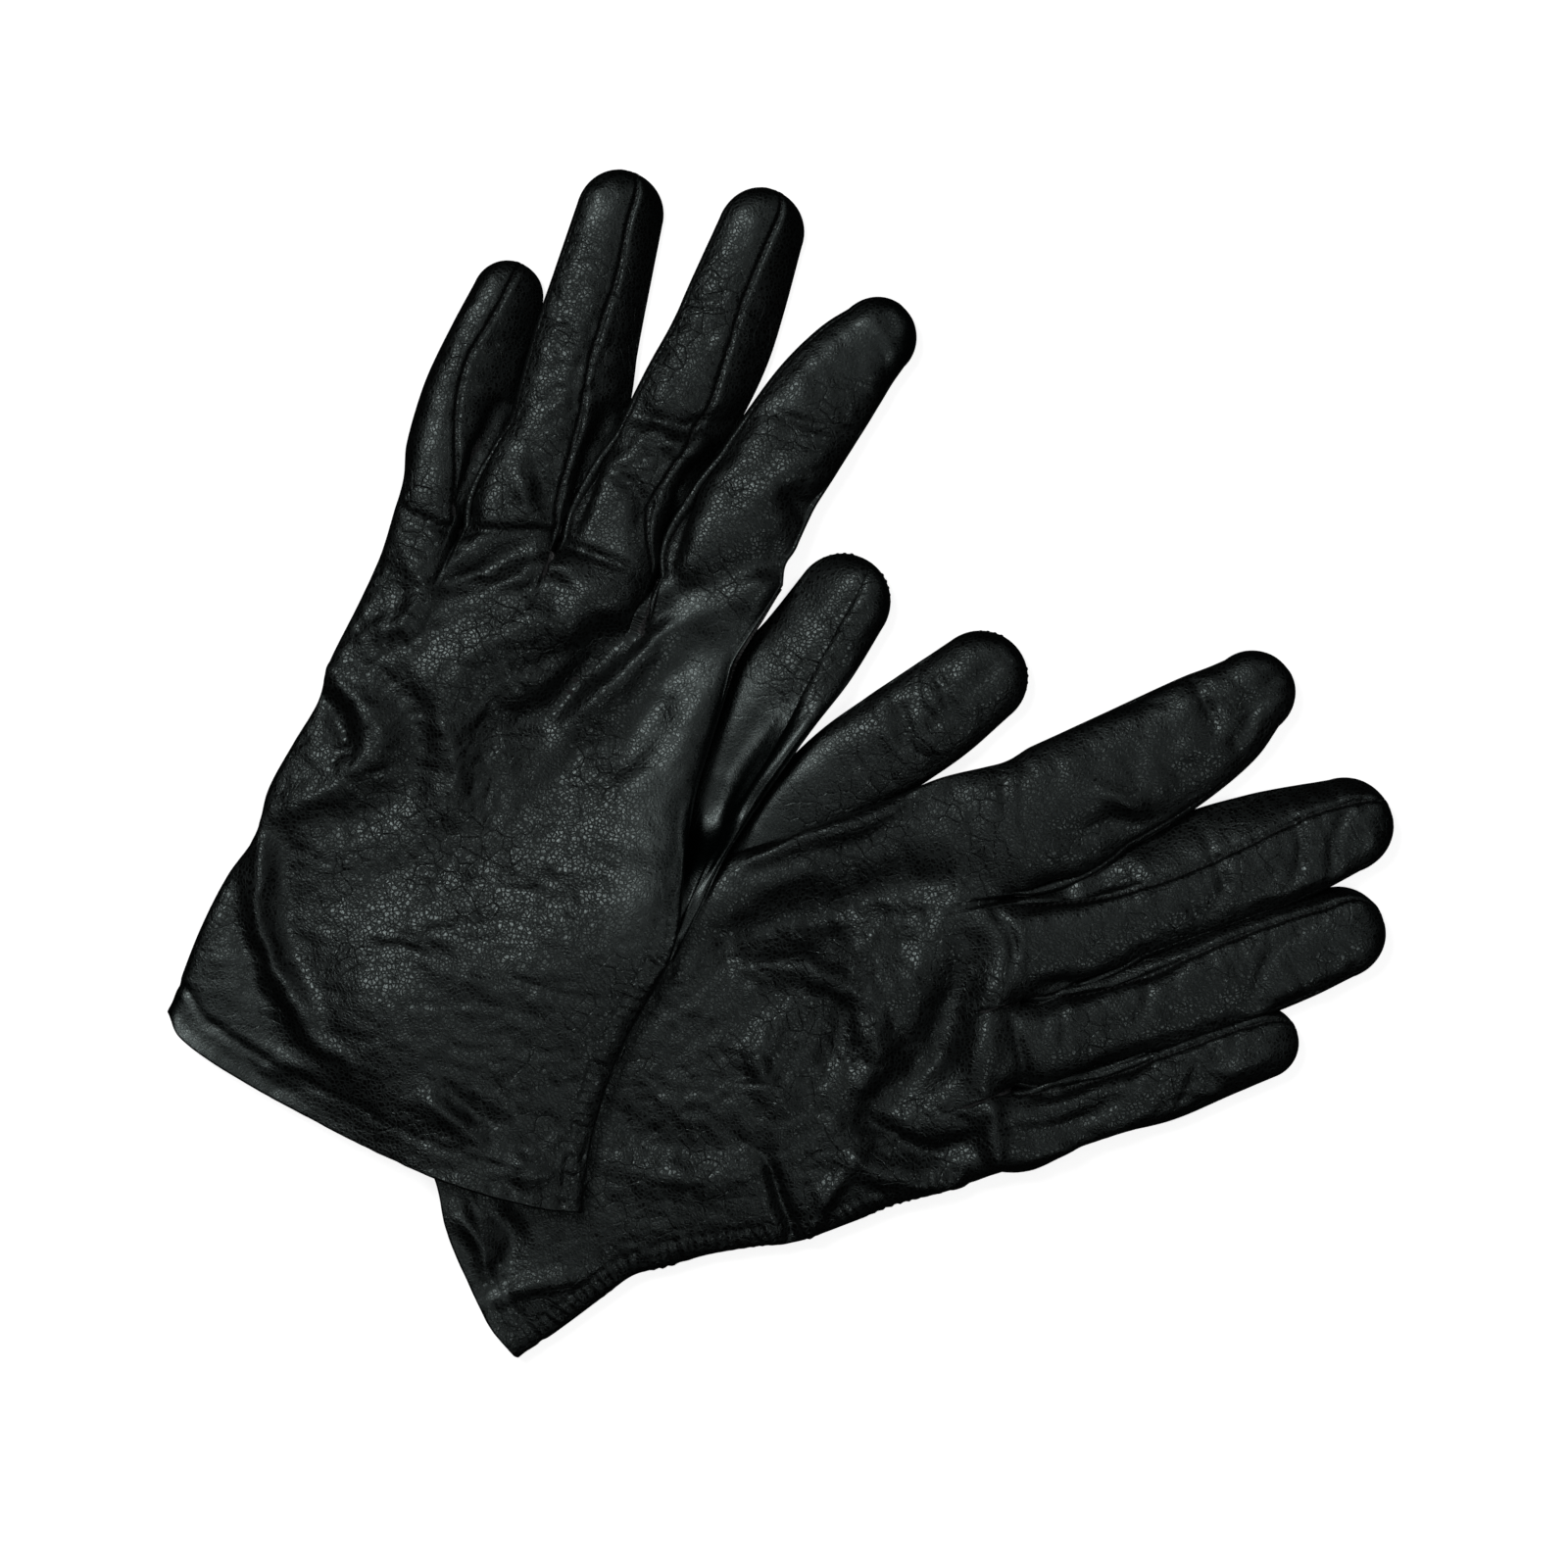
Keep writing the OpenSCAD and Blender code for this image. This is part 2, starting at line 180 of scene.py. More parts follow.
# A finger: (x, y, half width) from its root to the centre of its round tip, and its two back seams: a
# line, EDGE where the seam runs along the finger's own edge, or None where the leather wraps round.
# Left and right are as seen along the fingers.
EDGE = "edge"
GLOVES = {
    "left": {
        "left_edge": [(-147, -59.5), (-140, -41), (-133, -27), (-126, -17), (-123, -6), (-117, 5),
                      (-111, 15), (-108, 25), (-102, 37), (-96, 50), (-92, 63)],
        "right_edge": [(-47, -107), (-46, -98), (-44, -87), (-40, -74), (-35, -63), (-27.5, -50),
                       (-24, -40), (-23, -30), (-22, -20), (-20, -7.5), (-17.4, 1.6), (-12.7, 16.5),
                       (-10, 25.6), (-4, 35), (1, 43)],
        "hem": [(-147, -59.5), (-143, -66), (-128, -76), (-104, -88.6), (-83, -98), (-60, -105),
                (-47, -107)],
        "knuckles": [(-92, 63), (-76, 57.5), (-52.5, 54.5), (-29, 45.5), (1, 43)],
        "fingers": {
            "little": ([(-84, 60.3, 9), (-81, 67, 10.6), (-78, 77.6, 11.4), (-74.5, 89.3, 11.2),
                        (-70.3, 101, 9.9), (-65.4, 112.8, 8.6)],
                       None, [(-77.5, 57), (-78, 64), (-77.6, 74), (-77.2, 87), (-74.5, 98), (-69, 107),
                              (-62.5, 120)]),
            "ring": ([(-64.2, 56, 11.8), (-57, 69, 12.6), (-53, 77.6, 13), (-49.3, 89.3, 13.6),
                      (-46.8, 101, 12.9), (-43.7, 112.8, 12), (-38.4, 132.6, 10.6)],
                     EDGE, [(-53, 54), (-54, 62), (-51.8, 70), (-48, 81), (-46, 94), (-42, 107),
                            (-38.5, 118), (-36, 131), (-32.4, 142)]),
            "middle": ([(-40.7, 50, 12), (-33, 66, 12.3), (-26.6, 78, 12.6), (-20.4, 89.5, 13),
                        (-14.5, 101, 12.6), (-10, 112.8, 11.9), (-4.4, 128.4, 10.5)],
                       EDGE, [(-29, 45), (-32, 53), (-31, 63), (-25, 72), (-17, 85), (-12.7, 98),
                              (-8, 112.6), (-2, 127), (2, 136.5)]),
            "index": ([(-13.8, 44.3, 14.8), (-9.6, 55, 14), (-3.8, 67, 13.6), (3.6, 78.5, 13.2),
                       (10.6, 88.6, 12.7), (17.4, 97, 11.4), (23.5, 102.9, 9.7)],
                      EDGE, None),
        },
        "thumb": [(-29, -46, 4), (-25, -33, 6.5), (-20, -18, 8.5), (-14, -5, 10.4), (-8, 6.5, 12),
                  (-1.5, 17.3, 13), (7, 27.4, 12.5), (15.3, 39.3, 11.6)],
        "thumb_crest": [(-27, -46), (-16, -20), (0, 6), (9, 24), (18, 40), (23, 52)],
    },
    "right": {
        "left_edge": [(-103, -55), (-80, -47), (-52, -37), (-22, -26.5), (-10, -21), (11.5, -13.5),
                      (25, -9), (38, -3.5), (50, -0.5)],
        "right_edge": [(-63, -142.6), (-57, -139), (-50, -134), (-42, -128), (-35, -123), (-27, -121),
                       (-17, -118), (-5, -116), (4, -115), (18, -110), (28, -106), (41, -102.5),
                       (53.5, -98)],
        "hem": [(-103, -55), (-91, -82), (-82.3, -99), (-80, -110), (-77, -118), (-73, -127),
                (-69, -135), (-63, -142.6)],
        "knuckles": [(50, -0.5), (57, -32), (59, -57), (57, -77.5), (53.5, -98)],
        "fingers": {
            "index": ([(53.5, -16, 15.8), (67, -10.6, 16.2), (82, -3.5, 16), (94.5, 3.5, 15),
                       (106, 10.8, 13.2), (114, 17.2, 10.3)],
                      None, EDGE),
            "middle": ([(58, -44.5, 12.3), (69, -41, 12), (84, -33.5, 14), (101, -26.4, 15),
                        (116, -21.4, 14.5), (126, -18.2, 13.4), (136.3, -14.7, 11.6)],
                       [(57, -33), (66, -33.5), (78, -32), (94.5, -27), (111, -20), (128, -12),
                        (142.6, -8)], EDGE),
            "ring": ([(58, -67.3, 10.2), (70, -64.5, 10.3), (83, -59.6, 12), (99.3, -53.6, 13),
                      (114, -47.6, 13.4), (125, -43.9, 12.6), (134.8, -40.6, 11.2)],
                     [(58, -57.5), (68, -56), (90, -49.5), (114, -40), (142, -31)], EDGE),
            "little": ([(55.3, -87.7, 10.2), (67, -83.5, 9.7), (78, -80, 9.5), (91.5, -76.5, 9.8),
                        (104.5, -71, 9.8), (116.3, -67, 8.9)],
                       [(57, -79), (66, -78.5), (79, -74), (95, -69), (112, -63), (125.7, -60)], None),
        },
        "thumb": [(-23, -37, 2.5), (-13, -29, 6), (-3, -20, 9), (6, -11, 11), (17, -1.5, 12),
                  (27.5, 5.5, 12.5), (38, 12.7, 12.4), (48.5, 20.8, 11.5)],
    },
}

# Heights above what a part lies on
CUFF_TOP, HAND_TOP, FINGER_TOP, TIP_TOP, THUMB_ROOT, THUMB_TOP = 9.0, 12.0, 12.0, 9.5, 3.0, 10.0


# ---------------------------------------------------------------- lofting

class Leather:
    """Grids of points merged into one surface. Each grid brings its points, a height that its own seams
    add along the surface's normal, and the names of the pieces that its columns of squares belong to."""

    def __init__(self):
        self.points, self.bumps, self.faces, self.tags, self.names = [], [], [], [], []
        self.count = 0

    def add(self, grid, bump, spans, flip=False):
        rows, cols = grid.shape[:2]
        ids = self.count + np.arange(rows * cols).reshape(rows, cols)
        a, b, c, d = ids[:-1, :-1], ids[:-1, 1:], ids[1:, 1:], ids[1:, :-1]
        quads = np.stack([a, d, c, b] if flip else [a, b, c, d], axis=-1)
        tag = np.zeros(quads.shape[:2], int)
        for first, last, name in spans:
            if name not in self.names:
                self.names.append(name)
            tag[:, first:last] = self.names.index(name)
        self.points.append(grid.reshape(-1, 3))
        self.bumps.append(bump.reshape(-1))
        self.faces.append(quads.reshape(-1, 4))
        self.tags.append(tag.reshape(-1))
        self.count += rows * cols
        return ids

    def merge(self):
        """Joins the points that coincide."""
        points = np.vstack(self.points)
        keys = np.round(points * 100).astype(np.int64)
        _, first, index = np.unique(keys, axis=0, return_index=True, return_inverse=True)
        index = index.reshape(-1)
        self.co = points[first]
        share = np.bincount(index)
        self.bump = np.bincount(index, np.concatenate(self.bumps)) / share
        self.quads = index[np.vstack(self.faces)]
        self.tag = np.concatenate(self.tags)
        self.index = index

    def normals(self):
        p = self.co
        q = self.quads
        n = np.cross(p[q[:, 2]] - p[q[:, 0]], p[q[:, 3]] - p[q[:, 1]])
        total = np.zeros_like(p)
        for k in range(4):
            for axis in range(3):
                total[:, axis] += np.bincount(q[:, k], n[:, axis], len(p))
        return total / np.maximum(np.linalg.norm(total, axis=1), 1e-9)[:, None]


def half_oval(c, power):
    return (1 - np.clip(np.abs(c), 0, 1) ** power) ** (1 / power)


def clustered(a, b, count, ends=0.6):
    """count + 1 numbers from a to b, closer together at both ends."""
    t = np.linspace(0, 1, count + 1)
    return a + (b - a) * (t - ends * np.sin(2 * math.pi * t) / (2 * math.pi))


def unit(v):
    return np.array(v, float) / np.linalg.norm(v)


def settled_rows(rows, chord):
    """Rows whose first lies on the root chord, and which turn from there to their own places."""
    span = chord[1] - chord[0]
    ahead = unit([-span[1], span[0]])
    settled = []
    for centre, out, far, is_open in rows:
        w = smooth(far / SETTLE_LENGTH)
        start = (chord[0] + chord[1]) / 2 + ahead * far
        settled.append((start * (1 - w) + centre * w, span / 2 * (1 - w) + out * w, far, is_open))
    return settled


def finger_rows(stations, chord):
    """Rows across a finger from its root chord to its tip: (centre, edge to the right, distance from the
    root, how open the row is: 1 along the finger and 0 at the end of its round tip)."""
    body = spline(stations, BODY_POINTS)
    last = BODY_POINTS - 1
    length = np.sum(np.linalg.norm(np.diff(body[:, :2], axis=0), axis=1))
    rows = []
    for t in np.linspace(0, 1, int(length / ROW_STEP) + 1):
        here = np.array([np.interp(t * last, np.arange(BODY_POINTS), body[:, k]) for k in range(3)])
        near = int(t * last)
        ahead = unit(body[min(near + AHEAD_POINTS, last), :2] - body[max(near - AHEAD_POINTS, 0), :2])
        rows.append((here[:2], np.array([ahead[1], -ahead[0]]) * here[2], t * length, 1.0))
    tip = body[-1, 2]
    centre, out = rows[-1][:2]
    ahead = np.array([-out[1], out[0]]) / tip
    for angle in np.linspace(0, math.pi / 2, TIP_ROWS + 1)[1:]:
        rows.append((centre + ahead * tip * math.sin(angle), out * math.cos(angle),
                     length + tip * math.sin(angle), math.cos(angle)))
    return rows if chord is None else settled_rows(rows, chord)


def seam_places(rows, seam, edge):
    """Where a seam crosses each row, from -1 at the left edge to 1 at the right."""
    if seam is None or seam is EDGE:
        return np.full(len(rows), edge * (NO_SEAM if seam is None else EDGE_SEAM))
    line = spline(seam, 300)
    places = []
    for centre, out, _, is_open in rows:
        if is_open < 0.75:
            places.append(places[-1])
            continue
        offset = line - centre
        off_row = np.abs(offset[:, 0] * out[1] - offset[:, 1] * out[0])
        across = offset[np.argmin(off_row)] @ out / (out @ out)
        places.append(float(np.clip(across, -EDGE_SEAM, EDGE_SEAM)))
    padded = np.pad(places, SEAM_BLUR // 2, mode="edge")
    return np.convolve(padded, np.full(SEAM_BLUR, 1 / SEAM_BLUR), "valid")


def row_points(centre, out, c, swell, inner_sides):
    """Plan points at places c across a row, from -1 to 1, swollen on the sides of other fingers."""
    inner = (c < 0) * ("left" in inner_sides) + (c > 0) * ("right" in inner_sides)
    return centre + (c * (1 + swell * inner))[:, None] * out


def finger_grids(stations, seams, chord, heights, inner_sides=()):
    """The upper and the palm grid of a finger, each as (points, bump)."""
    rows = finger_rows(stations, chord)
    whole = rows[-1][2]
    at_left, at_right = [seam_places(rows, seam, edge) for seam, edge in zip(seams, (-1, 1))]
    upper, upper_bump, palm = [], [], []
    for (centre, out, far, is_open), a, b in zip(rows, at_left, at_right):
        share = far / whole
        swell = SWELL * math.sin(math.pi * min(far / SWELL_LENGTH, 1))
        c = np.concatenate([clustered(-1, a, LEFT_COLS)[:-1], clustered(a, b, BACK_COLS)[:-1],
                            clustered(b, 1, RIGHT_COLS)])
        height = heights[0] + (heights[1] - heights[0]) * smooth(share)
        middle = (WIDEST - 0.16 * smooth(far / 12) * is_open) * height
        rise = height - middle
        puff = is_open ** 0.5
        # the back is a crown between its seams, and the side strips fall away from the seams
        across = np.clip((c - a) / (b - a), 0, 1)
        seam_left = 0.8 * half_oval(a, 2.4) ** 0.3
        seam_right = 0.8 * half_oval(b, 2.4) ** 0.3
        crown = seam_left * (1 - across) + seam_right * across
        crown = crown + (1 - np.maximum(seam_left, seam_right) * 0.96) * (1 - np.abs(2 * across - 1) ** 3)
        left = seam_left * np.sin(np.clip((c + 1) / (a + 1), 0, 1) * math.pi / 2) ** 0.95
        right = seam_right * np.sin(np.clip((1 - c) / (1 - b), 0, 1) * math.pi / 2) ** 0.95
        profile = np.where(c < a, left, np.where(c > b, right, crown))
        # round over whatever is square at the edges
        profile = profile * half_oval(c, 7)
        edge = middle * (0.45 + 0.55 * is_open)
        z = edge + (rise * profile + middle - edge) * puff * (profile > 0)
        upper.append(np.column_stack([row_points(centre, out, c, swell, inner_sides), z]))
        arc = np.concatenate([[0], np.cumsum(np.hypot(np.diff(c) * np.linalg.norm(out),
                                                      np.diff(rise * profile)))])
        bump = np.zeros(len(c))
        for seam, wanted in ((LEFT_COLS, seams[0]), (LEFT_COLS + BACK_COLS, seams[1])):
            gap = arc - arc[seam]
            if wanted is not None:
                fade = smooth(is_open * 2.5) * smooth((far + 4) / 4)
                # a groove at the seam and a low ridge on each side of it
                groove = -0.5 * np.exp(-(gap / 0.5) ** 2)
                bump += fade * (groove + 0.22 * np.exp(-((np.abs(gap) - 1.3) / 0.7) ** 2))
        upper_bump.append(bump)
        c = -np.cos(np.linspace(0, math.pi, PALM_COLS + 1))
        z = edge * (1 - half_oval(c, 3.0) * puff)
        palm.append(np.column_stack([row_points(centre, out, c, swell, inner_sides), z]))
    palm = np.array(palm)
    return (np.array(upper), np.array(upper_bump)), (palm, np.zeros(palm.shape[:2]))


def coons(left, right, near, far):
    """Points of a patch between four edge curves: near and far run across, left and right run along."""
    v = np.linspace(0, 1, len(left))[:, None, None]
    u = np.linspace(0, 1, len(near))[None, :, None]
    across = near[None] * (1 - v) + far[None] * v
    along = left[:, None] * (1 - u) + right[:, None] * u
    corners = (near[0] * (1 - u) + near[-1] * u) * (1 - v) + (far[0] * (1 - u) + far[-1] * u) * v
    return across + along - corners


def hand_grids(glove, knuckle_upper, knuckle_palm):
    """The upper and the palm grid of a hand, from its hem to the knuckle rows of its fingers."""
    length = np.linalg.norm(np.subtract(glove["knuckles"][2], glove["hem"][3]))
    count = int(length / ROW_STEP)
    left = spline(glove["left_edge"], count)
    right = spline(glove["right_edge"], count)
    grids = []
    for knuckles, is_upper in ((knuckle_upper, True), (knuckle_palm, False)):
        cols = len(knuckles)
        hem = spline(glove["hem"], cols, clustered(0, 1, cols - 1))
        plan = coons(left, right, hem, knuckles[:, :2])
        v = np.linspace(0, 1, count)[:, None]
        steps = np.linalg.norm(np.diff(plan, axis=1), axis=2)
        span = np.concatenate([np.zeros((count, 1)), np.cumsum(steps, axis=1)], axis=1)
        c = 2 * span / span[:, -1:] - 1
        height = CUFF_TOP + (HAND_TOP - CUFF_TOP) * smooth(v * 1.3)
        middle = WIDEST * height
        if is_upper:
            z = middle + (height - middle) * half_oval(c, 3.2)
        else:
            z = middle * (1 - half_oval(c, 4.0))
        to_knuckle = np.linalg.norm(plan - plan[-1:], axis=2)
        near = np.exp(-(to_knuckle / 7.0) ** 1.4)
        z = z * (1 - near) + knuckles[:, 2] * near
        grids.append((np.dstack([plan, z]), np.zeros(z.shape)))
    return grids


# ---------------------------------------------------------------- folds

# Folds of the backs: (height, half width, line). A ridge is above 0, a valley below.
FOLDS = {
    "left_thumb": [
        (-1.4, 2.5, [(-24, -40), (-17, -18), (-8, 2), (0, 16)]),
    ],
    "right_thumb": [
        (-0.8, 1.4, [(26, -1), (31, 8), (29, 16)]),
        (-0.7, 1.2, [(34, 4), (41, 12), (40, 22)]),
        (-0.7, 1.2, [(44, 10), (46, 18), (52, 24)]),
        (0.8, 2.5, [(36, 14), (44, 18)]),
    ],
    "left": [
        # the openings between the fingers' roots
        (-3.0, 2.0, [(-75, 60), (-72, 72), (-67, 86)]),
        (-3.0, 2.0, [(-51, 57), (-47, 71), (-40, 86)]),
        (-3.4, 2.2, [(-27, 49), (-22, 62), (-14, 76)]),
        # the two long drags from the index knuckle across the back
        (-5.4, 5.5, [(-24, 42), (-37, 30), (-46, 21), (-56, 12), (-69, 8)]),
        (-4.2, 8.5, [(-12, 36), (-28, 19), (-36, 8), (-50, 0), (-66, -4)]),
        (1.6, 3.2, [(-27, 33), (-38, 21), (-50, 10)]),
        (2.6, 6.5, [(-34, 46), (-48, 35), (-62, 31), (-78, 22), (-84, 12)]),
        (0.9, 2.4, [(-46, 27), (-56, 20)]),
        (-1.2, 2.2, [(-40, 33), (-50, 26), (-60, 23)]),
        # the hooked fold at the outer side
        (2.0, 4.0, [(-111, 25), (-101, 14), (-97, 5), (-102, -4), (-112, -8), (-120, -10)]),
        (-2.3, 3.6, [(-109, 19), (-105, 11), (-103, 2)]),
        (-2.0, 4.5, [(-92, 20), (-88, 6), (-94, -8), (-106, -15)]),
        (1.6, 4.0, [(-84, 10), (-76, -2), (-84, -14)]),
        # down to the cuff
        (2.2, 3.2, [(-125, -14), (-123.5, -33), (-119, -49), (-113, -63), (-105, -70)]),
        (-1.3, 5.0, [(-117, -18), (-115, -36), (-109, -52)]),
        (-0.8, 3.5, [(-131, -24), (-129, -42), (-124, -58)]),
        (-0.35, 0.8, [(-112, -37), (-93, -42), (-70, -51), (-38, -57)]),
        (0.9, 3.5, [(-104, -44), (-84, -47), (-68, -55)]),
        (0.8, 4.0, [(-60, -30), (-76, -28), (-92, -32)]),
        # knuckles
        (-1.3, 1.4, [(-93, 64), (-82, 58.5), (-70, 56.6), (-56, 55.5), (-50, 51.7), (-38, 47.7),
                     (-30, 45)]),
        (-2.6, 3.2, [(-84, 43), (-72, 48), (-60, 54)]),
        (2.0, 3.4, [(-90, 54), (-84, 44), (-87, 35), (-97, 34)]),
        (1.6, 3.0, [(-66, 45), (-54, 48), (-44, 42)]),
        (-2.4, 4.5, [(-22, 42), (-10, 47), (3, 55)]),
        # the fingers' own creases
        (-1.8, 2.6, [(-36, 86), (-24, 81), (-10, 84)]),
        (1.2, 2.6, [(-34, 79), (-24, 75), (-16, 77)]),
        (-1.0, 2.0, [(-40, 70), (-34, 63), (-33, 56)]),
        (-2.4, 3.0, [(2, 64), (10, 60), (16, 65)]),
        (1.6, 3.0, [(-6, 62), (4, 70), (14, 74)]),
        (-1.0, 1.4, [(-2, 84), (10, 80), (22, 78)]),
        (1.4, 2.4, [(-62, 70), (-60, 62)]),
        (-1.0, 1.8, [(-58, 72), (-56, 62)]),
        (-0.6, 0.9, [(-58, 104), (-50, 106), (-42, 103)]),
        (-0.6, 0.9, [(-56, 96), (-50, 94)]),
        (-0.5, 0.9, [(-28, 112), (-18, 110), (-12, 113)]),
        (-0.5, 0.9, [(8, 94), (18, 90), (28, 92)]),
        # two thin drags beside the thumb
        (-1.2, 1.0, [(-17, -7), (-20, -22), (-24, -42), (-29, -52)]),
        (0.9, 1.1, [(-19.5, -6), (-22.5, -22), (-26.5, -42), (-32, -54)]),
        # bumps above the hem
        (1.8, 3.0, [(-84, -80), (-76, -85), (-71, -91)]),
        (-1.4, 2.6, [(-78, -79), (-68, -86)]),
        (1.8, 3.2, [(-66, -94), (-54, -99)]),
        (1.0, 3.0, [(-122, -68), (-112, -72)]),
    ],
    "right": [
        # the openings between the fingers' roots
        (-3.0, 2.0, [(60, -32), (72, -30), (86, -25)]),
        (-3.0, 2.0, [(62, -56), (78, -52), (94, -47)]),
        (-3.0, 2.0, [(60, -78), (72, -76), (86, -71)]),
        # the hollow along the back
        (-5.0, 6.0, [(44, -44), (39, -59), (33, -72), (24, -82)]),
        (2.2, 5.5, [(53, -48), (49, -61), (46, -74), (48, -86)]),
        (-5.4, 7.5, [(-12, -42), (8, -37), (26, -30), (44, -27)]),
        (2.6, 4.5, [(-6, -48), (8, -50), (20, -55)]),
        (2.2, 4.0, [(22, -62), (26, -72), (18, -80)]),
        (-1.8, 3.5, [(14, -56), (16, -66), (8, -74)]),
        (1.8, 4.0, [(-2, -62), (-6, -72), (0, -84)]),
        (-2.0, 4.0, [(17, -48), (29, -42), (36, -38)]),
        (-3.2, 3.6, [(18, -84), (38, -92), (50, -88)]),
        (2.0, 3.0, [(50, -80), (51, -90), (54, -98)]),
        (1.6, 3.0, [(14, -92), (30, -99), (44, -101)]),
        (-2.6, 2.2, [(4, -116), (1, -104), (-4, -94)]),
        (2.0, 2.6, [(8, -113), (12, -102), (20, -95)]),
        (-1.2, 2.2, [(-9, -26), (6, -21), (22, -17)]),
        (1.5, 1.8, [(-9, -21.5), (10, -15.5), (28, -10.5)]),
        (-1.4, 5.0, [(-40, -84), (-24, -92), (-8, -92)]),
        (1.4, 4.0, [(-36, -96), (-20, -100), (-6, -98)]),
        (2.0, 2.8, [(-78, -106), (-73, -115), (-71, -122)]),
        (-1.8, 2.8, [(-68, -106), (-66, -116), (-66, -124)]),
        (1.4, 2.4, [(-68, -131), (-58, -126), (-46, -124)]),
        # fingers
        (-1.2, 1.5, [(52, -33), (55, -42), (53, -52)]),
        (-1.0, 1.4, [(54, -60), (57, -70), (55, -80)]),
        (1.6, 3.6, [(74, -8), (84, -8), (92, -4)]),
        (-1.6, 2.6, [(66, -18), (76, -16), (88, -10)]),
        (-1.0, 1.4, [(98, -2), (103, 8), (100, 18)]),
        (-0.9, 1.2, [(108, 4), (114, 14), (122, 18)]),
        (-0.9, 1.4, [(100, 12), (110, 14), (120, 22)]),
        (1.4, 2.4, [(96, 2), (104, 4)]),
        (-0.8, 1.2, [(100, -36), (106, -28), (104, -18)]),
        (-0.8, 1.2, [(118, -32), (124, -22), (122, -12)]),
        (-0.8, 1.2, [(130, -26), (134, -14), (140, -10)]),
        (1.4, 2.6, [(112, -34), (126, -27), (136, -24)]),
        (-0.8, 1.2, [(112, -58), (118, -48), (128, -38)]),
        (-0.8, 1.2, [(84, -66), (90, -58), (88, -50)]),
        (1.2, 2.2, [(110, -62), (122, -55), (134, -50)]),
        (-1.6, 1.8, [(56, -88), (68, -86), (80, -80)]),
        (1.4, 2.0, [(60, -94), (74, -90), (88, -84)]),
        (-0.8, 1.4, [(96, -82), (100, -72)]),
        (1.4, 2.4, [(108, -76), (118, -70)]),
    ],
}

# Where the leather is puckered: (height, size of a wrinkle, how much longer it is than wide,
# direction in degrees that it runs in, centre, reach)
WRINKLES = {
    "left_thumb": [(0.25, 3.6, 2.2, 60, (10, 30), 14)],
    "right_thumb": [(0.45, 5.0, 2.0, 110, (35, 12), 22)],
    "left": [
        (0.40, 6.0, 2.4, 50, (-55, 15), 30), (0.30, 5.0, 2.0, 40, (-85, 15), 28),
        (0.30, 3.2, 2.2, 20, (-72, 52), 14), (0.40, 3.0, 2.0, 60, (-44, 88), 12),
        (0.45, 3.4, 2.4, 20, (-52, 66), 12), (0.50, 3.6, 2.4, 30, (-24, 72), 16),
        (0.34, 4.2, 2.2, 0, (8, 66), 16), (0.30, 3.0, 2.5, -15, (-44, 103), 18),
        (0.26, 3.4, 2.5, 25, (-14, 104), 20), (0.22, 3.4, 2.5, -60, (18, 86), 20),
        (0.22, 3.0, 2.0, 0, (-76, 92), 22), (0.22, 6.0, 3.0, -12, (-80, -55), 50),
        (0.30, 3.6, 1.6, 40, (-95, 42), 20), (0.25, 4.0, 1.5, 0, (-60, -88), 30),
    ],
    "right": [
        (0.45, 5.0, 1.4, 60, (10, -66), 26), (0.35, 3.5, 3.0, 70, (55, -12), 20),
        (0.40, 3.6, 2.2, 20, (83, -6), 16), (0.35, 4.2, 2.2, 60, (104, 12), 16),
        (0.35, 4.4, 2.0, 120, (128, -10), 16), (0.28, 4.0, 2.0, 90, (95, -32), 22),
        (0.26, 4.0, 2.0, 100, (125, -42), 20), (0.30, 3.4, 2.4, 20, (62, -92), 18),
        (0.35, 3.6, 2.4, -20, (35, -94), 20), (0.16, 5.0, 1.8, 0, (-30, -90), 50),
        (0.30, 3.0, 2.6, 80, (70, -60), 16), (0.30, 3.0, 2.0, 0, (100, -76), 20),
        (0.30, 4.0, 2.5, 100, (20, -40), 26),
    ],
}


# Where the grain has opened most: (centre, reach)
GRAINY = {
    "left": ((-95, -15), 55),
    "right": ((-10, -75), 45),
    "left_thumb": ((5, 25), 10),
    "right_thumb": ((30, 0), 14),
}


def near_to(x, y, centre, reach):
    """1 at a centre, falling to 0 beyond its reach."""
    return np.exp(-(np.hypot(x - centre[0], y - centre[1]) / reach) ** 2)


def wear_of(side, co):
    """How far the grain has opened at each point: most where the leather is wrinkled."""
    x, y = co[:, 0], co[:, 1]
    total = 0.1 + 0.28 * noise(co, 38, 1) + 0.14 * noise(co, 12, 2)
    total += 0.5 * near_to(x, y, *GRAINY[side])
    for height, *_, centre, reach in WRINKLES[side]:
        total += 1.5 * height * near_to(x, y, centre, reach)
    return np.clip(total, 0, 1)


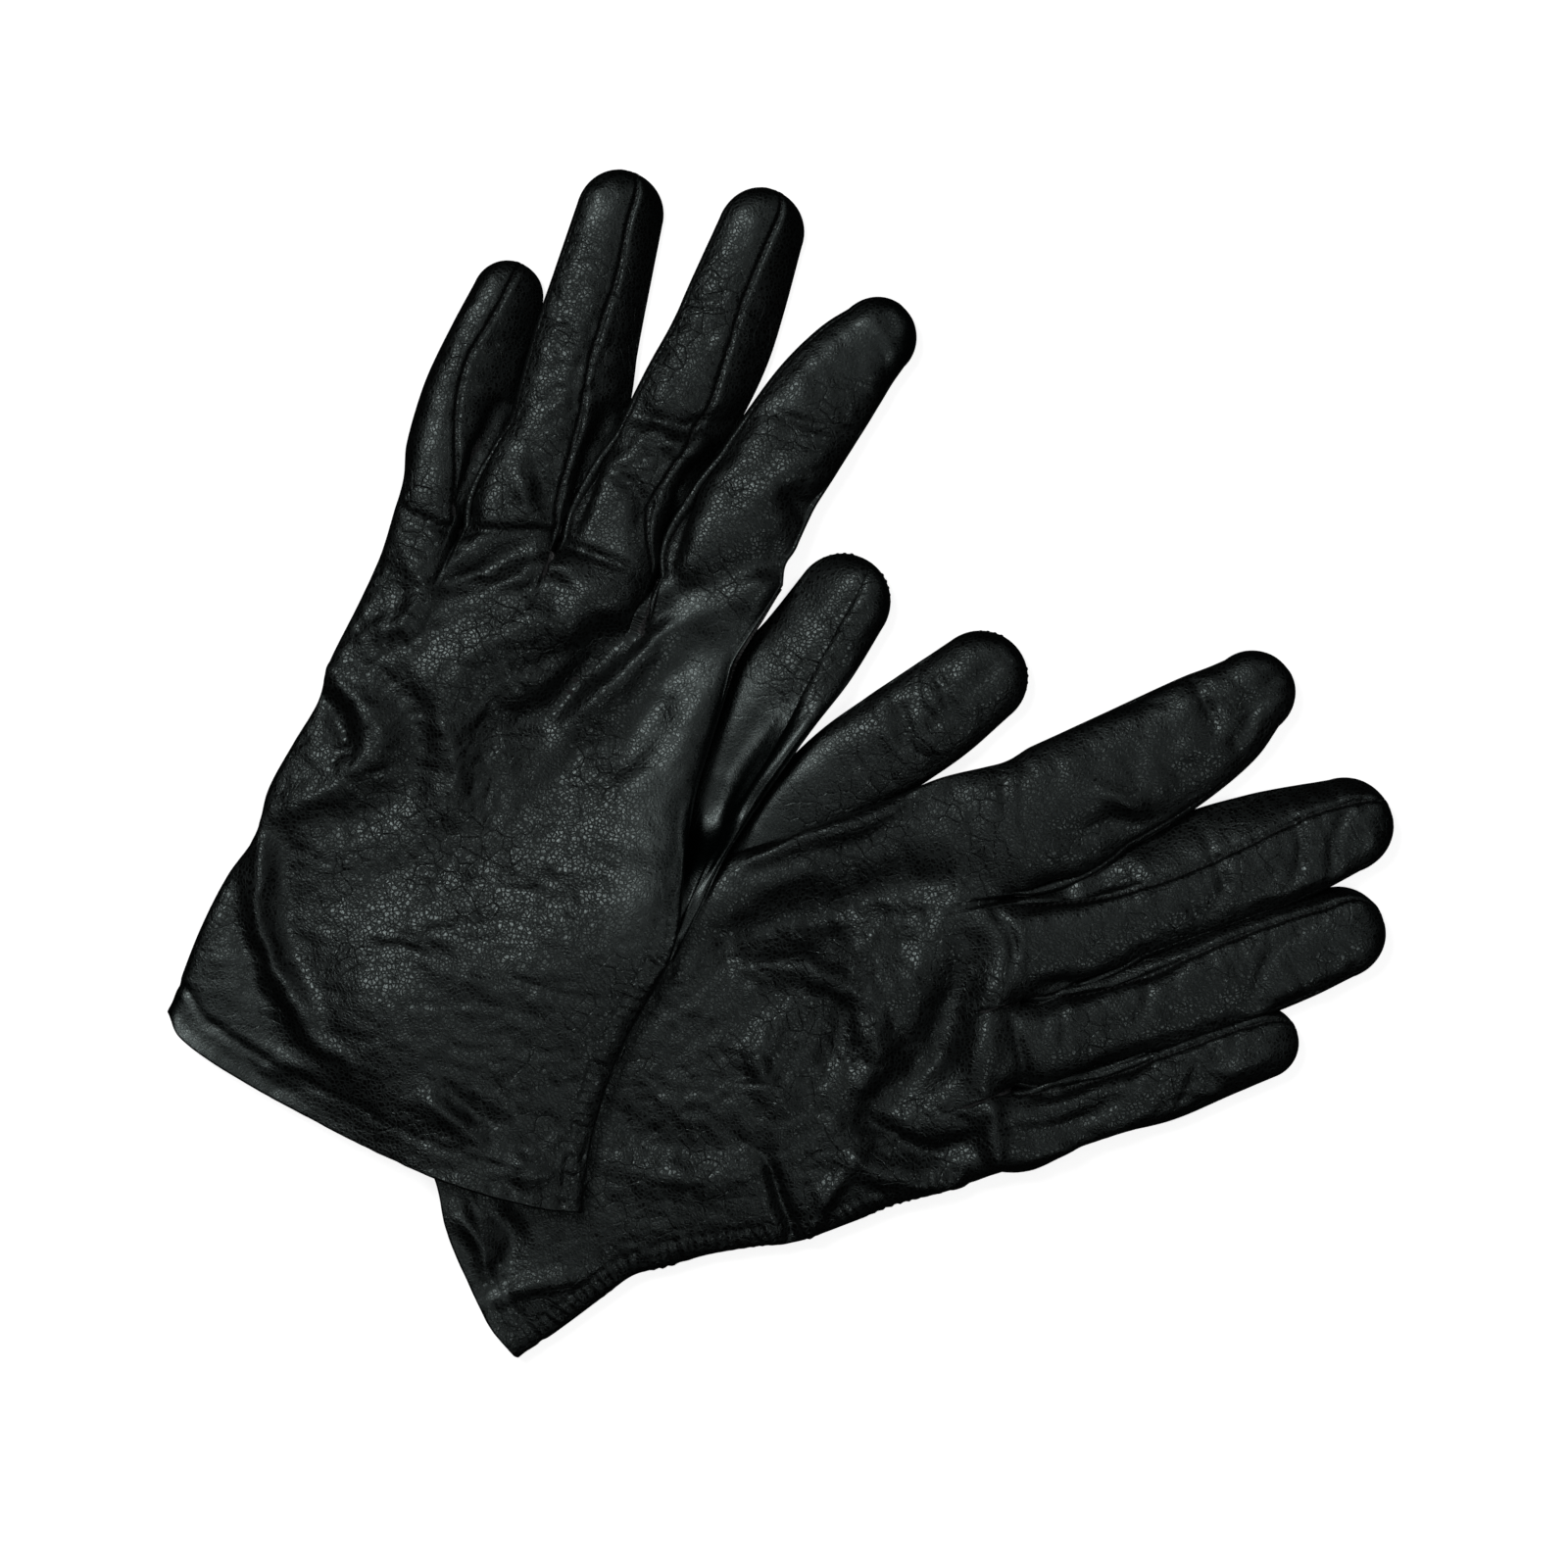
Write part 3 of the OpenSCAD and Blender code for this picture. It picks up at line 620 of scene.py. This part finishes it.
def fold_height(side, co):
    """How far the folds and wrinkles lift each point of a hand's back and fingers."""
    x, y = co[:, 0], co[:, 1]
    total = np.zeros(len(co))
    # the folds' lines wander, as real ones do
    x, y = (x + (noise(co, 14, 0) * 2.4 + noise(co, 6, 1) * 0.9),
            y + (noise(co, 14, 1) * 2.4 + noise(co, 6, 2) * 0.9))
    for height, width, line in FOLDS[side]:
        line = spline(line, 16)
        gap, where = distance_to(line, x, y)
        ends = 0.25 + 0.75 * np.sin(np.clip(where, 0.02, 0.98) * math.pi) ** 0.6
        total += height * ends * np.exp(-(gap / width) ** 2)
    for height, size, stretch, degrees, centre, reach in WRINKLES[side]:
        turn = math.radians(degrees)
        run = x * math.cos(turn) + y * math.sin(turn)
        cross = y * math.cos(turn) - x * math.sin(turn)
        p = np.stack([run / stretch, cross, co[:, 2]], axis=1)
        border = cells(p, size * 1.5)
        bulges = np.sqrt(np.clip(border / size, 0, 1)) - 0.45 * np.exp(-(border / 0.5) ** 2)
        wrinkles = 1.1 * bulges + 1.1 * noise(p, size * 0.9, 2) - 0.4
        total += height * near_to(x, y, centre, reach) * wrinkles
    wear = wear_of(side, co)
    crumple = 0.9 * np.sqrt(np.clip(cells(np.stack([x, y], axis=1), 3.8) / 1.6, 0, 1)) + noise(co, 2.4, 1)
    total += 0.24 * (0.1 + wear) * (crumple - 0.6)
    total += 0.35 * noise(co, 22, 2) + 0.16 * noise(co, 9, 0)
    return total


# Strips beside a hand's outer seam where the leather is gathered, from the wrist to the hem
GATHERS = {
    "left": [(-23, -30), (-24, -40), (-27.5, -50), (-35, -63), (-40, -74), (-44, -87), (-46, -98),
             (-47, -107)],
    "right": [(-63, -142.6), (-50, -134), (-35, -123), (-17, -118), (4, -115), (18, -110), (41, -102.5)],
}
GATHER_WIDTH, GATHER_PITCH = 5.0, 2.5
HEM_DEPTH = 7.0


def edge_height(side, co):
    """What the turned hem and the gathered outer seam add to a hand."""
    x, y = co[:, 0], co[:, 1]
    to_hem, _ = distance_to(spline(GLOVES[side]["hem"], 40), x, y)
    ripple = noise(co, 3.2, 1)
    total = 0.35 * np.exp(-(to_hem / 1.6) ** 2)
    total += (-0.32 - 0.22 * ripple) * np.exp(-((to_hem - HEM_DEPTH) / 1.1) ** 2)
    line = spline(GATHERS[side], 60)
    gap, where = distance_to(line, x, y)
    length = np.sum(np.linalg.norm(np.diff(line, axis=0), axis=1))
    phase = where * length / GATHER_PITCH + 0.7 * noise(co, 6.0, 0)
    inside = smooth((GATHER_WIDTH + 1.5 - gap) / 2.5) * smooth(gap / 1.2) * smooth(where * 8)
    total += 0.36 * np.sin(2 * math.pi * phase) * inside
    total -= 0.3 * np.exp(-((gap - GATHER_WIDTH) / 0.9) ** 2) * smooth(where * 8)
    return total


# ---------------------------------------------------------------- lying on each other

class Relief:
    """The height of everything laid down so far, on a grid over the floor."""
    HALF, CELL = 170, 1.0

    def __init__(self):
        side = int(2 * self.HALF / self.CELL)
        self.top = np.zeros((side, side))

    def lay(self, co):
        i = np.clip(((co[:, :2] + self.HALF) / self.CELL).astype(int), 0, len(self.top) - 1)
        np.maximum.at(self.top, (i[:, 0], i[:, 1]), co[:, 2])

    def soften(self, reach, blur):
        """The height that a limp glove takes up over it: it spans what is close and sags beyond."""
        top = self.top.copy()
        for dx in range(-reach, reach + 1):
            for dy in range(-reach, reach + 1):
                if math.hypot(dx, dy) <= reach:
                    top = np.maximum(top, np.roll(self.top, (dx, dy), (0, 1)))
        kernel = np.exp(-(np.arange(-3 * blur, 3 * blur + 1) / blur) ** 2)
        kernel /= kernel.sum()
        for axis in (0, 1):
            top = np.apply_along_axis(np.convolve, axis, top, kernel, "same")
        self.soft = top

    def at(self, xy):
        p = (xy + self.HALF) / self.CELL - 0.5
        i = np.clip(np.floor(p).astype(int), 0, len(self.soft) - 2)
        f = p - i
        x, y, across, up = i[:, 0], i[:, 1], f[:, 0], f[:, 1]
        near = self.soft[x, y] * (1 - across) + self.soft[x + 1, y] * across
        far = self.soft[x, y + 1] * (1 - across) + self.soft[x + 1, y + 1] * across
        return near * (1 - up) + far * up


def settle(leather, relief, side, is_hand):
    """Lays a merged surface over what is under it and raises its seams, folds and edges."""
    flat = leather.co.copy()
    floor = relief.at(flat[:, :2])
    leather.co = flat + np.column_stack([np.zeros((len(flat), 2)), floor])
    facing = leather.normals()
    upward = smooth((facing[:, 2] - 0.15) / 0.7)
    height = leather.bump.copy()
    height += fold_height(side, flat) * (0.06 + 0.94 * upward)
    if is_hand:
        height += edge_height(side, flat)
    leather.co = leather.co + facing * height[:, None]
    leather.co[:, 2] = np.maximum(leather.co[:, 2], LOWEST)
    leather.facing = leather.normals()
    leather.grain = flat
    leather.wear = wear_of(side, flat)


# ---------------------------------------------------------------- materials

class Material:
    """The nodes of one material, around a Principled shader."""

    def __init__(self, name):
        self.material = bpy.data.materials.new(name)
        self.material.use_nodes = True
        self.tree = self.material.node_tree
        self.tree.nodes.clear()
        out = self.tree.nodes.new("ShaderNodeOutputMaterial")
        self.shader = self.tree.nodes.new("ShaderNodeBsdfPrincipled")
        self.tree.links.new(self.shader.outputs[0], out.inputs[0])

    def fill(self, n, inputs):
        """Sets a node's inputs to values, or joins them to other nodes' outputs."""
        for key, value in inputs.items():
            if isinstance(value, bpy.types.NodeSocket):
                self.tree.links.new(value, n.inputs[key])
            else:
                n.inputs[key].default_value = value

    def node(self, kind, inputs, output=0, **settings):
        """An output of a new shader node."""
        n = self.tree.nodes.new("ShaderNode" + kind)
        for key, value in settings.items():
            setattr(n, key, value)
        self.fill(n, inputs)
        return n.outputs[output]

    def ramp(self, value, stops):
        """A value turned into greys or colours, which change evenly from stop to stop."""
        n = self.tree.nodes.new("ShaderNodeValToRGB")
        self.fill(n, {0: value})
        elements = n.color_ramp.elements
        while len(elements) < len(stops):
            elements.new(0.5)
        for element, (place, colour) in zip(elements, stops):
            element.position = place
            element.color = (*colour, 1) if isinstance(colour, tuple) else (colour, colour, colour, 1)
        return n.outputs[0]

    def maths(self, operation, a, b, clamp=False):
        return self.node("Math", {0: a, 1: b}, operation=operation, use_clamp=clamp)

    def add(self, a, b, clamp=False):
        return self.maths("ADD", a, b, clamp)

    def minus(self, a, b):
        return self.maths("SUBTRACT", a, b)

    def times(self, a, b):
        return self.maths("MULTIPLY", a, b)

    def grain(self):
        """Where a point was before the leather was folded, in millimetres."""
        return self.node("Attribute", {}, "Vector", attribute_name="grain")

    def clouds(self, place, scale, detail, output=0):
        return self.node("TexNoise", {"Vector": place, "Scale": scale, "Detail": detail}, output)

    def borders(self, place, scale):
        """Distance to the nearest border in a pattern of cells."""
        return self.node("TexVoronoi", {"Vector": place, "Scale": scale}, "Distance",
                         feature="DISTANCE_TO_EDGE")

    def waves(self, place, scale, distortion, direction):
        return self.node("TexWave", {"Vector": place, "Scale": scale, "Distortion": distortion}, 1,
                         bands_direction=direction)

    def bump(self, height, strength, distance):
        return self.node("Bump", {"Strength": strength, "Distance": distance, "Height": height})


def leather_material():
    m = Material("black_leather")
    place = m.grain()
    drift = m.clouds(place, 0.5, 2, "Color")
    bent = m.node("VectorMath", {0: drift, "Scale": 1.1}, operation="SCALE")
    bent = m.node("VectorMath", {0: place, 1: bent}, operation="ADD")
    pebbles = m.borders(bent, 1.0)
    small = m.borders(bent, 1.7)
    creases = m.borders(bent, 0.24)
    patches = m.clouds(place, 0.028, 3)
    fine = m.clouds(place, 2.6, 3)

    # the grain opens where the leather is worn, and the long creases come in patches
    wear = m.node("Attribute", {}, "Fac", attribute_name="wear")
    grainy = m.ramp(m.add(wear, m.times(patches, 0.5)), [(0.3, 0.16), (0.75, 1.0)])
    pebble_rise = m.ramp(pebbles, [(0.0, 0.0), (0.1, 0.55), (0.2, 0.94), (0.42, 1.0)])
    small_rise = m.ramp(small, [(0.0, 0.0), (0.08, 0.8), (0.3, 1.0)])
    crease_rise = m.ramp(creases, [(0.0, 0.0), (0.035, 0.7), (0.1, 1.0)])
    open_lines = m.times(m.minus(1.0, pebble_rise), grainy)
    fine_lines = m.times(m.minus(1.0, small_rise), 0.22)
    creased = m.ramp(m.clouds(place, 0.06, 2), [(0.48, 0.0), (0.6, 1.0)])
    crease_lines = m.times(m.minus(1.0, crease_rise), m.times(creased, grainy))
    lines = m.add(open_lines, fine_lines, clamp=True)
    height = m.minus(m.times(fine, 0.3), m.add(open_lines, fine_lines))
    height = m.minus(height, m.times(crease_lines, 2.5))

    # near black, with a tone that differs between grainy and smooth leather; the lines between the pebbles
    # of the grain are duller, and their darker colour is painted shade in the grain's hollows
    tone = m.add(grainy, m.times(fine, 0.3))
    colour = m.ramp(tone, [(0.3, (0.0001, 0.001, 0.0009)), (1.0, (0.0012, 0.001, 0.0009))])
    # painted shade: the colour darkens along the grain's lines
    colour = m.node("Mix", {"Factor": lines, 6: colour, 7: (0.0002, 0.0002, 0.0003, 1)}, 2,
                    data_type="RGBA")
    rough = m.add(m.add(m.times(fine, 0.12), 0.16), m.times(lines, 0.45))
    m.fill(m.shader, {"Base Color": colour, "Roughness": rough, "Normal": m.bump(height, 1.0, 0.00005),
                      "Specular IOR Level": 0.5, "Specular Tint": (0.86, 1.0, 0.98, 1)})
    return m.material


def thread_material():
    m = Material("seam_thread")
    strands = m.waves(m.grain(), 1.6, 1.5, "DIAGONAL")
    colour = m.ramp(strands, [(0.2, (0.003, 0.0035, 0.0038)), (0.8, (0.012, 0.0125, 0.013))])
    rough = m.add(m.times(strands, 0.2), 0.45)
    m.fill(m.shader, {"Base Color": colour, "Roughness": rough, "Normal": m.bump(strands, 0.8, 0.00006)})
    return m.material


def lining_material():
    m = Material("lining")
    place = m.grain()
    loops = m.waves(place, 0.55, 0.6, "X")
    rows = m.waves(place, 0.4, 0.6, "Y")
    knit = m.times(loops, rows)
    tone = m.add(m.times(knit, 0.6), m.times(m.clouds(place, 1.8, 4), 0.4))
    colour = m.ramp(tone, [(0.2, (0.004, 0.004, 0.0045)), (0.8, (0.022, 0.022, 0.024))])
    m.fill(m.shader, {"Base Color": colour, "Roughness": 0.9, "Sheen Weight": 0.25,
                      "Normal": m.bump(knit, 1.0, 0.0002)})
    return m.material


MATERIALS = {
    "black_leather": leather_material(),
    "seam_thread": thread_material(),
    "lining": lining_material(),
}


# ---------------------------------------------------------------- pieces

def piece(name, co, quads, slot, normals=None, grain=None, wear=None):
    """A mesh object from points in millimetres. Squares with coinciding corners become triangles."""
    used, index = np.unique(quads, return_inverse=True)
    faces = [list(dict.fromkeys(face)) for face in index.reshape(quads.shape).tolist()]
    mesh = bpy.data.meshes.new(name)
    mesh.from_pydata((co[used] * MM).tolist(), [], [face for face in faces if len(face) > 2])
    mesh.polygons.foreach_set("use_smooth", np.ones(len(mesh.polygons), bool))
    mesh.update()
    place = mesh.attributes.new("grain", "FLOAT_VECTOR", "POINT")
    place.data.foreach_set("vector", (co if grain is None else grain)[used].astype(np.float32).ravel())
    if wear is not None:
        worn = mesh.attributes.new("wear", "FLOAT", "POINT")
        worn.data.foreach_set("value", wear[used].astype(np.float32))
    if normals is not None:
        mesh.normals_split_custom_set_from_vertices(normals[used].tolist())
    mesh.materials.append(MATERIALS[slot])
    mesh.update()
    obj = bpy.data.objects.new(name, mesh)
    bpy.context.scene.collection.objects.link(obj)
    return obj


def grid_quads(ids):
    return np.stack([ids[:-1, :-1], ids[:-1, 1:], ids[1:, 1:], ids[1:, :-1]], axis=-1).reshape(-1, 4)


# A stitch: its sides, its thickness at each ring from end to end, its half width and half height, how
# much it slants, its length out of a pitch, and how high its middle stands and its ends dive
STITCH_SIDES, STITCH_RINGS = 6, [0.0, 0.8, 1.0, 0.8, 0.0]
STITCH_WIDTH, STITCH_HEIGHT, SLANT, STITCH_LENGTH = 0.24, 0.2, 0.35, 0.82
STITCH_RISE, STITCH_DIVE = 0.2, 0.25


def stitches(paths):
    """Short slanting stitches along lines on the leather: each path is (points, normals)."""
    sides = STITCH_SIDES
    points, quads = [], []
    for line, out in paths:
        steps = np.linalg.norm(np.diff(line, axis=0), axis=1)
        at = np.concatenate([[0], np.cumsum(steps)])
        for k in range(int(at[-1] / STITCH)):
            middle = (k + 0.5) * STITCH
            centre, up, ahead = [np.array([np.interp(middle + step, at, v[:, i]) for i in range(3)])
                                 for v, step in ((line, 0), (out, 0), (line, 0.5))]
            along = unit(ahead - centre)
            side = unit(np.cross(up, along))
            along = unit(along + SLANT * side)
            side = unit(np.cross(up, along))
            up = np.cross(along, side)
            first = len(points)
            for r, size in enumerate(STITCH_RINGS):
                t = r / (len(STITCH_RINGS) - 1) - 0.5
                middle = centre + up * (STITCH_RISE - STITCH_DIVE * (2 * t) ** 2)
                for a in range(sides):
                    angle = 2 * math.pi * a / sides
                    ring = math.cos(angle) * side * STITCH_WIDTH + math.sin(angle) * up * STITCH_HEIGHT
                    points.append(middle + along * t * STITCH * STITCH_LENGTH + size * ring)
            for r in range(len(STITCH_RINGS) - 1):
                for a in range(sides):
                    b = (a + 1) % sides
                    quads.append([first + r * sides + a, first + r * sides + b,
                                  first + (r + 1) * sides + b, first + (r + 1) * sides + a])
    return np.array(points), np.array(quads)


def fold_joint(name, root_row):
    """The bodies that a finger's fold joins, and where its leather starts and ends bending."""
    joint = next(j for j in frame["joints"] if j["name"] == name)
    hinge = np.array(joint["pos_m"]) / MM
    axis = np.array(joint["axis"])
    ahead = np.array([-axis[1], axis[0], 0.0])
    first = np.max((root_row - hinge) @ ahead) + 0.2
    start, end = hinge + ahead * first, hinge + ahead * (first + BEND_LENGTH)
    return joint["parent"], joint["child"], (start * MM).tolist(), (end * MM).tolist()


def place_piece(obj, cad_node, joint, body):
    """Puts a piece in the place of a CAD node and hides the node: with a finger's joint given, its
    transform is baked into its points, otherwise it rides on a body.
    """
    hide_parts(cad_node)
    if joint:
        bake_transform(obj)
    else:
        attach(obj, body)


def leather_piece(side, name, leather, joint, body=None):
    """The squares of a merged surface that carry a name, as a piece."""
    quads = leather.quads[leather.tag == leather.names.index(name)]
    obj = piece(f"{side}_{name}_leather", leather.co, quads, "black_leather", leather.facing,
                leather.grain, leather.wear)
    place_piece(obj, f"{side}_{name}", joint, body)


def seam_path(leather, ids):
    """A line of points on the leather, and its normals there, for a row of stitches."""
    line = leather.index[ids]
    return leather.co[line], leather.facing[line]


FINGERS = ("little", "ring", "middle", "index")


def build_thumb(side, relief):
    leather = Leather()
    glove = GLOVES[side]
    upper, palm = finger_grids(glove["thumb"], (glove.get("thumb_crest"), None), None,
                               (THUMB_ROOT, THUMB_TOP))
    rows = len(upper[0])
    # the thumb's crest has no seam
    upper[1][:] = 0
    joint_name = f"{side}_thumb_fold"
    hinge = next(j for j in frame["joints"] if j["name"] == joint_name)
    ahead = np.array([-hinge["axis"][1], hinge["axis"][0]])
    centre = upper[0][:, FINGER_COLS // 2, :2]
    split = int(np.argmax((centre - np.array(hinge["pos_m"][:2]) / MM) @ ahead > 0))
    ids = {}
    for first, last, back_name, palm_name in ((0, split + 1, "thumb_root", "thumb_root"),
                                              (split, rows, "thumb_back", "thumb_palm")):
        grid = [g[first:last] for g in upper]
        ids[back_name] = leather.add(*grid, [(0, FINGER_COLS, back_name)])
        grid = [g[first:last] for g in palm]
        ids[palm_name] = leather.add(*grid, [(0, PALM_COLS, palm_name)], flip=True)
    leather.merge()
    settle(leather, relief, side + "_thumb", False)
    moving = [ids["thumb_back"], ids["thumb_palm"]]
    joint = fold_joint(joint_name, np.vstack([leather.co[leather.index[grid[0]]] for grid in moving]))
    leather_piece(side, "thumb_root", leather, None, f"{side}_hand")
    leather_piece(side, "thumb_back", leather, joint)
    leather_piece(side, "thumb_palm", leather, joint)
    inner(side, "thumb", leather, moving, joint)
    paths = [seam_path(leather, ids["thumb_palm"][:-3, col]) for col in (1, PALM_COLS - 1)]
    seam_piece(side, "thumb", paths, joint)
    return leather


def inner(side, name, leather, grids, joint, body=None, first=0, step=3):
    """The lining: a looser skin inside the leather, with a point for every step of its rows and columns."""
    co = leather.co - leather.facing * (RIM + LINING_GAP)
    quads = []
    for ids in grids:
        ids = leather.index[ids]
        rows = np.unique(np.append(np.arange(first, len(ids) - 2, step), len(ids) - 2))
        cols = np.unique(np.append(np.arange(0, ids.shape[1], step), ids.shape[1] - 1))
        quads.append(grid_quads(ids[np.ix_(rows, cols)]))
    obj = piece(f"{side}_{name}_lining_knit", co, np.vstack(quads), "lining", None, leather.grain)
    place_piece(obj, f"{side}_{name}_lining", joint, body)


def seam_piece(side, name, paths, joint, body=None):
    points, quads = stitches(paths)
    obj = piece(f"{side}_{name}_stitches", points, quads, "seam_thread")
    place_piece(obj, f"{side}_{name}_threads", joint, body)


def build_glove(side, relief):
    glove = GLOVES[side]
    leather = Leather()
    order = FINGERS if side == "left" else FINGERS[::-1]
    chords = [np.array(c, float) for c in glove["knuckles"]]
    ids, roots = {}, []
    outer = {order[0]: "left", order[-1]: "right"}
    for k, name in enumerate(order):
        stations, *seams = glove["fingers"][name]
        inner_sides = [edge for edge in ("left", "right") if outer.get(name) != edge]
        upper, palm = finger_grids(stations, seams, (chords[k], chords[k + 1]), (FINGER_TOP, TIP_TOP),
                                   inner_sides)
        a, b = LEFT_COLS, LEFT_COLS + BACK_COLS
        strips = f"{name}_fourchettes"
        spans = [(0, a, f"{name}_back" if outer.get(name) == "left" else strips), (a, b, f"{name}_back"),
                 (b, FINGER_COLS, f"{name}_back" if outer.get(name) == "right" else strips)]
        ids[name] = [leather.add(*upper, spans),
                     leather.add(*palm, [(0, PALM_COLS, f"{name}_palm")], flip=True)]
        roots.append((upper[0][0], palm[0][0]))
    knuckles = [np.vstack([r[j][:-1] for r in roots] + [roots[-1][j][-1:]]) for j in (0, 1)]
    upper, palm = hand_grids(glove, *knuckles)
    hand = [leather.add(*upper, [(0, 4 * FINGER_COLS, "hand_back")]),
            leather.add(*palm, [(0, 4 * PALM_COLS, "hand_palm")], flip=True)]
    leather.merge()
    settle(leather, relief, side, True)
    for name in order:
        rows = np.vstack([leather.co[leather.index[g[0]]] for g in ids[name]])
        joint = fold_joint(f"{side}_{name}_fold", rows)
        for part in ("back", "palm", "fourchettes"):
            leather_piece(side, f"{name}_{part}", leather, joint)
        inner(side, name, leather, ids[name], joint)
        paths = [seam_path(leather, ids[name][0][2:-6, col])
                 for col, edge in ((LEFT_COLS, "left"), (LEFT_COLS + BACK_COLS, "right"))
                 if outer.get(name) != edge]
        seam_piece(side, name, paths, joint)
    for part, grid in (("back", hand[0]), ("palm", hand[1])):
        quads = leather.quads[leather.tag == leather.names.index(f"hand_{part}")]
        co, facing, grain, wear, hem = turned_hem(leather, leather.index[grid], part == "palm")
        quads = np.vstack([quads, hem])
        obj = piece(f"{side}_hand_{part}_leather", co, quads, "black_leather", facing, grain, wear)
        place_piece(obj, f"{side}_hand_{part}", None, f"{side}_hand")
    inner(side, "hand", leather, hand, None, f"{side}_hand", first=HEM_ROWS - 1, step=4)
    paths = [seam_path(leather, hand[1][3:-6, col]) for col in (1, -2)]
    seam_piece(side, "side_seam", paths, None, f"{side}_hand")
    return leather


def turned_hem(leather, grid, flip):
    """The surface with a hem turned into the mouth of its cuff: a round lip, then a band inside. Gives
    the points, normals, places in the grain and wear of both, and the squares of the hem."""
    band = [grid[k] for k in range(HEM_ROWS)]
    lip = leather.co[grid[0]] * 2 - leather.co[grid[1]]
    lip = leather.co[grid[0]] + (lip - leather.co[grid[0]]) * 0.6 - leather.facing[grid[0]] * RIM * 0.5
    inside = [leather.co[row] - leather.facing[row] * RIM for row in band]
    co = np.vstack([leather.co, lip] + inside)
    extra = len(leather.co) + np.arange((HEM_ROWS + 1) * grid.shape[1]).reshape(HEM_ROWS + 1, -1)
    strip = grid_quads(np.vstack([grid[:1], extra]))
    outward = unit(np.mean(lip - leather.co[grid[1]], axis=0))
    facing = np.vstack([leather.facing, np.tile(outward, (grid.shape[1], 1))]
                       + [-leather.facing[row] for row in band])
    grain = np.vstack([leather.grain, leather.grain[grid[0]]]
                      + [leather.grain[row] + HEM_GRAIN_SHIFT for row in band])
    wear = np.concatenate([leather.wear] + [leather.wear[grid[0]]] * (HEM_ROWS + 1))
    return co, facing, grain, wear, strip if flip else strip[:, ::-1]


# Each part lies over what was laid before it. A hand gives way to the thumb under it, which keeps half
# of its height there.
PRESSED = [1, 1, 0.5]

relief = Relief()
relief.soften(1, 1)
thumb = build_thumb("right", relief)
relief.lay(thumb.co * PRESSED)
relief.soften(2, 3)
hand = build_glove("right", relief)
relief.lay(thumb.co)
relief.lay(hand.co)
relief.soften(4, 4)
thumb = build_thumb("left", relief)
relief.lay(thumb.co * PRESSED)
relief.soften(9, 12)
build_glove("left", relief)


# ---------------------------------------------------------------- floor, light and camera

# The floor's radius and height, from the middle out to where it curves up into a wall
FLOOR_PROFILE = [(2.5, 0), (3.2, 0.15), (3.7, 0.7), (4.0, 1.6), (4.0, 5.0)]
FLOOR_SIDES = 64
FLOOR_GREY, FLOOR_GLOW = 0.7, 0.85


def floor():
    m = Material("floor")
    m.fill(m.shader, {"Base Color": (FLOOR_GREY, FLOOR_GREY, FLOOR_GREY, 1), "Roughness": 0.9,
                      "Emission Color": (1, 1, 1, 1), "Emission Strength": FLOOR_GLOW})
    angles = np.linspace(0, 2 * math.pi, FLOOR_SIDES, endpoint=False)
    rings = [[(r * math.cos(a), r * math.sin(a), z) for a in angles] for r, z in FLOOR_PROFILE]
    grid = np.arange(len(rings) * FLOOR_SIDES).reshape(len(rings), FLOOR_SIDES)
    mesh = bpy.data.meshes.new("floor")
    mesh.from_pydata([point for ring in rings for point in ring], [],
                     [grid[0].tolist()] + grid_quads(np.hstack([grid, grid[:, :1]])).tolist())
    mesh.materials.append(m.material)
    obj = bpy.data.objects.new("floor", mesh)
    # the leather's steep sides stay black only if the white floor neither mirrors in them nor lights them
    obj.visible_glossy = False
    obj.visible_diffuse = False
    bpy.context.scene.collection.objects.link(obj)


def area_light(name, place, size, power):
    """A round soft light, aimed at the middle of the floor."""
    light = bpy.data.lights.new(name, "AREA")
    light.shape = "DISK"
    light.size = size
    light.energy = power
    obj = bpy.data.objects.new(name, light)
    obj.location = place
    obj.rotation_euler = (-Vector(place)).to_track_quat("-Z", "Y").to_euler()
    obj.visible_camera = False
    bpy.context.scene.collection.objects.link(obj)


floor()
area_light("overhead", (0.0, 0.03, 1.9), 1.15, 1.75)
area_light("key", (-0.65, 0.6, 1.4), 0.6, 8)
area_light("side", (0.55, -0.6, 1.4), 0.5, 1.8)
area_light("back", (0.8, 0.7, 1.2), 0.5, 1.0)

WORLD_LIGHT = 0.008
world = bpy.data.worlds.new("studio")
world.use_nodes = True
background = world.node_tree.nodes["Background"]
background.inputs["Color"].default_value = (1, 1, 1, 1)
background.inputs["Strength"].default_value = WORLD_LIGHT
bpy.context.scene.world = world
bpy.context.scene.view_settings.view_transform = "Standard"

# The camera looks straight down. VIEW_WIDTH is what it takes in at VIEW_LEVEL, half way up the gloves.
VIEW_WIDTH, VIEW_LEVEL = 0.376, 0.01
CAMERA_PLACE = (0.0012, -0.0047, 1.5)
SENSOR_WIDTH = 36
camera = bpy.data.cameras.new("camera")
camera.sensor_width = SENSOR_WIDTH
camera.lens = SENSOR_WIDTH * (CAMERA_PLACE[2] - VIEW_LEVEL) / VIEW_WIDTH
eye = bpy.data.objects.new("camera", camera)
eye.location = CAMERA_PLACE
bpy.context.scene.collection.objects.link(eye)
bpy.context.scene.camera = eye
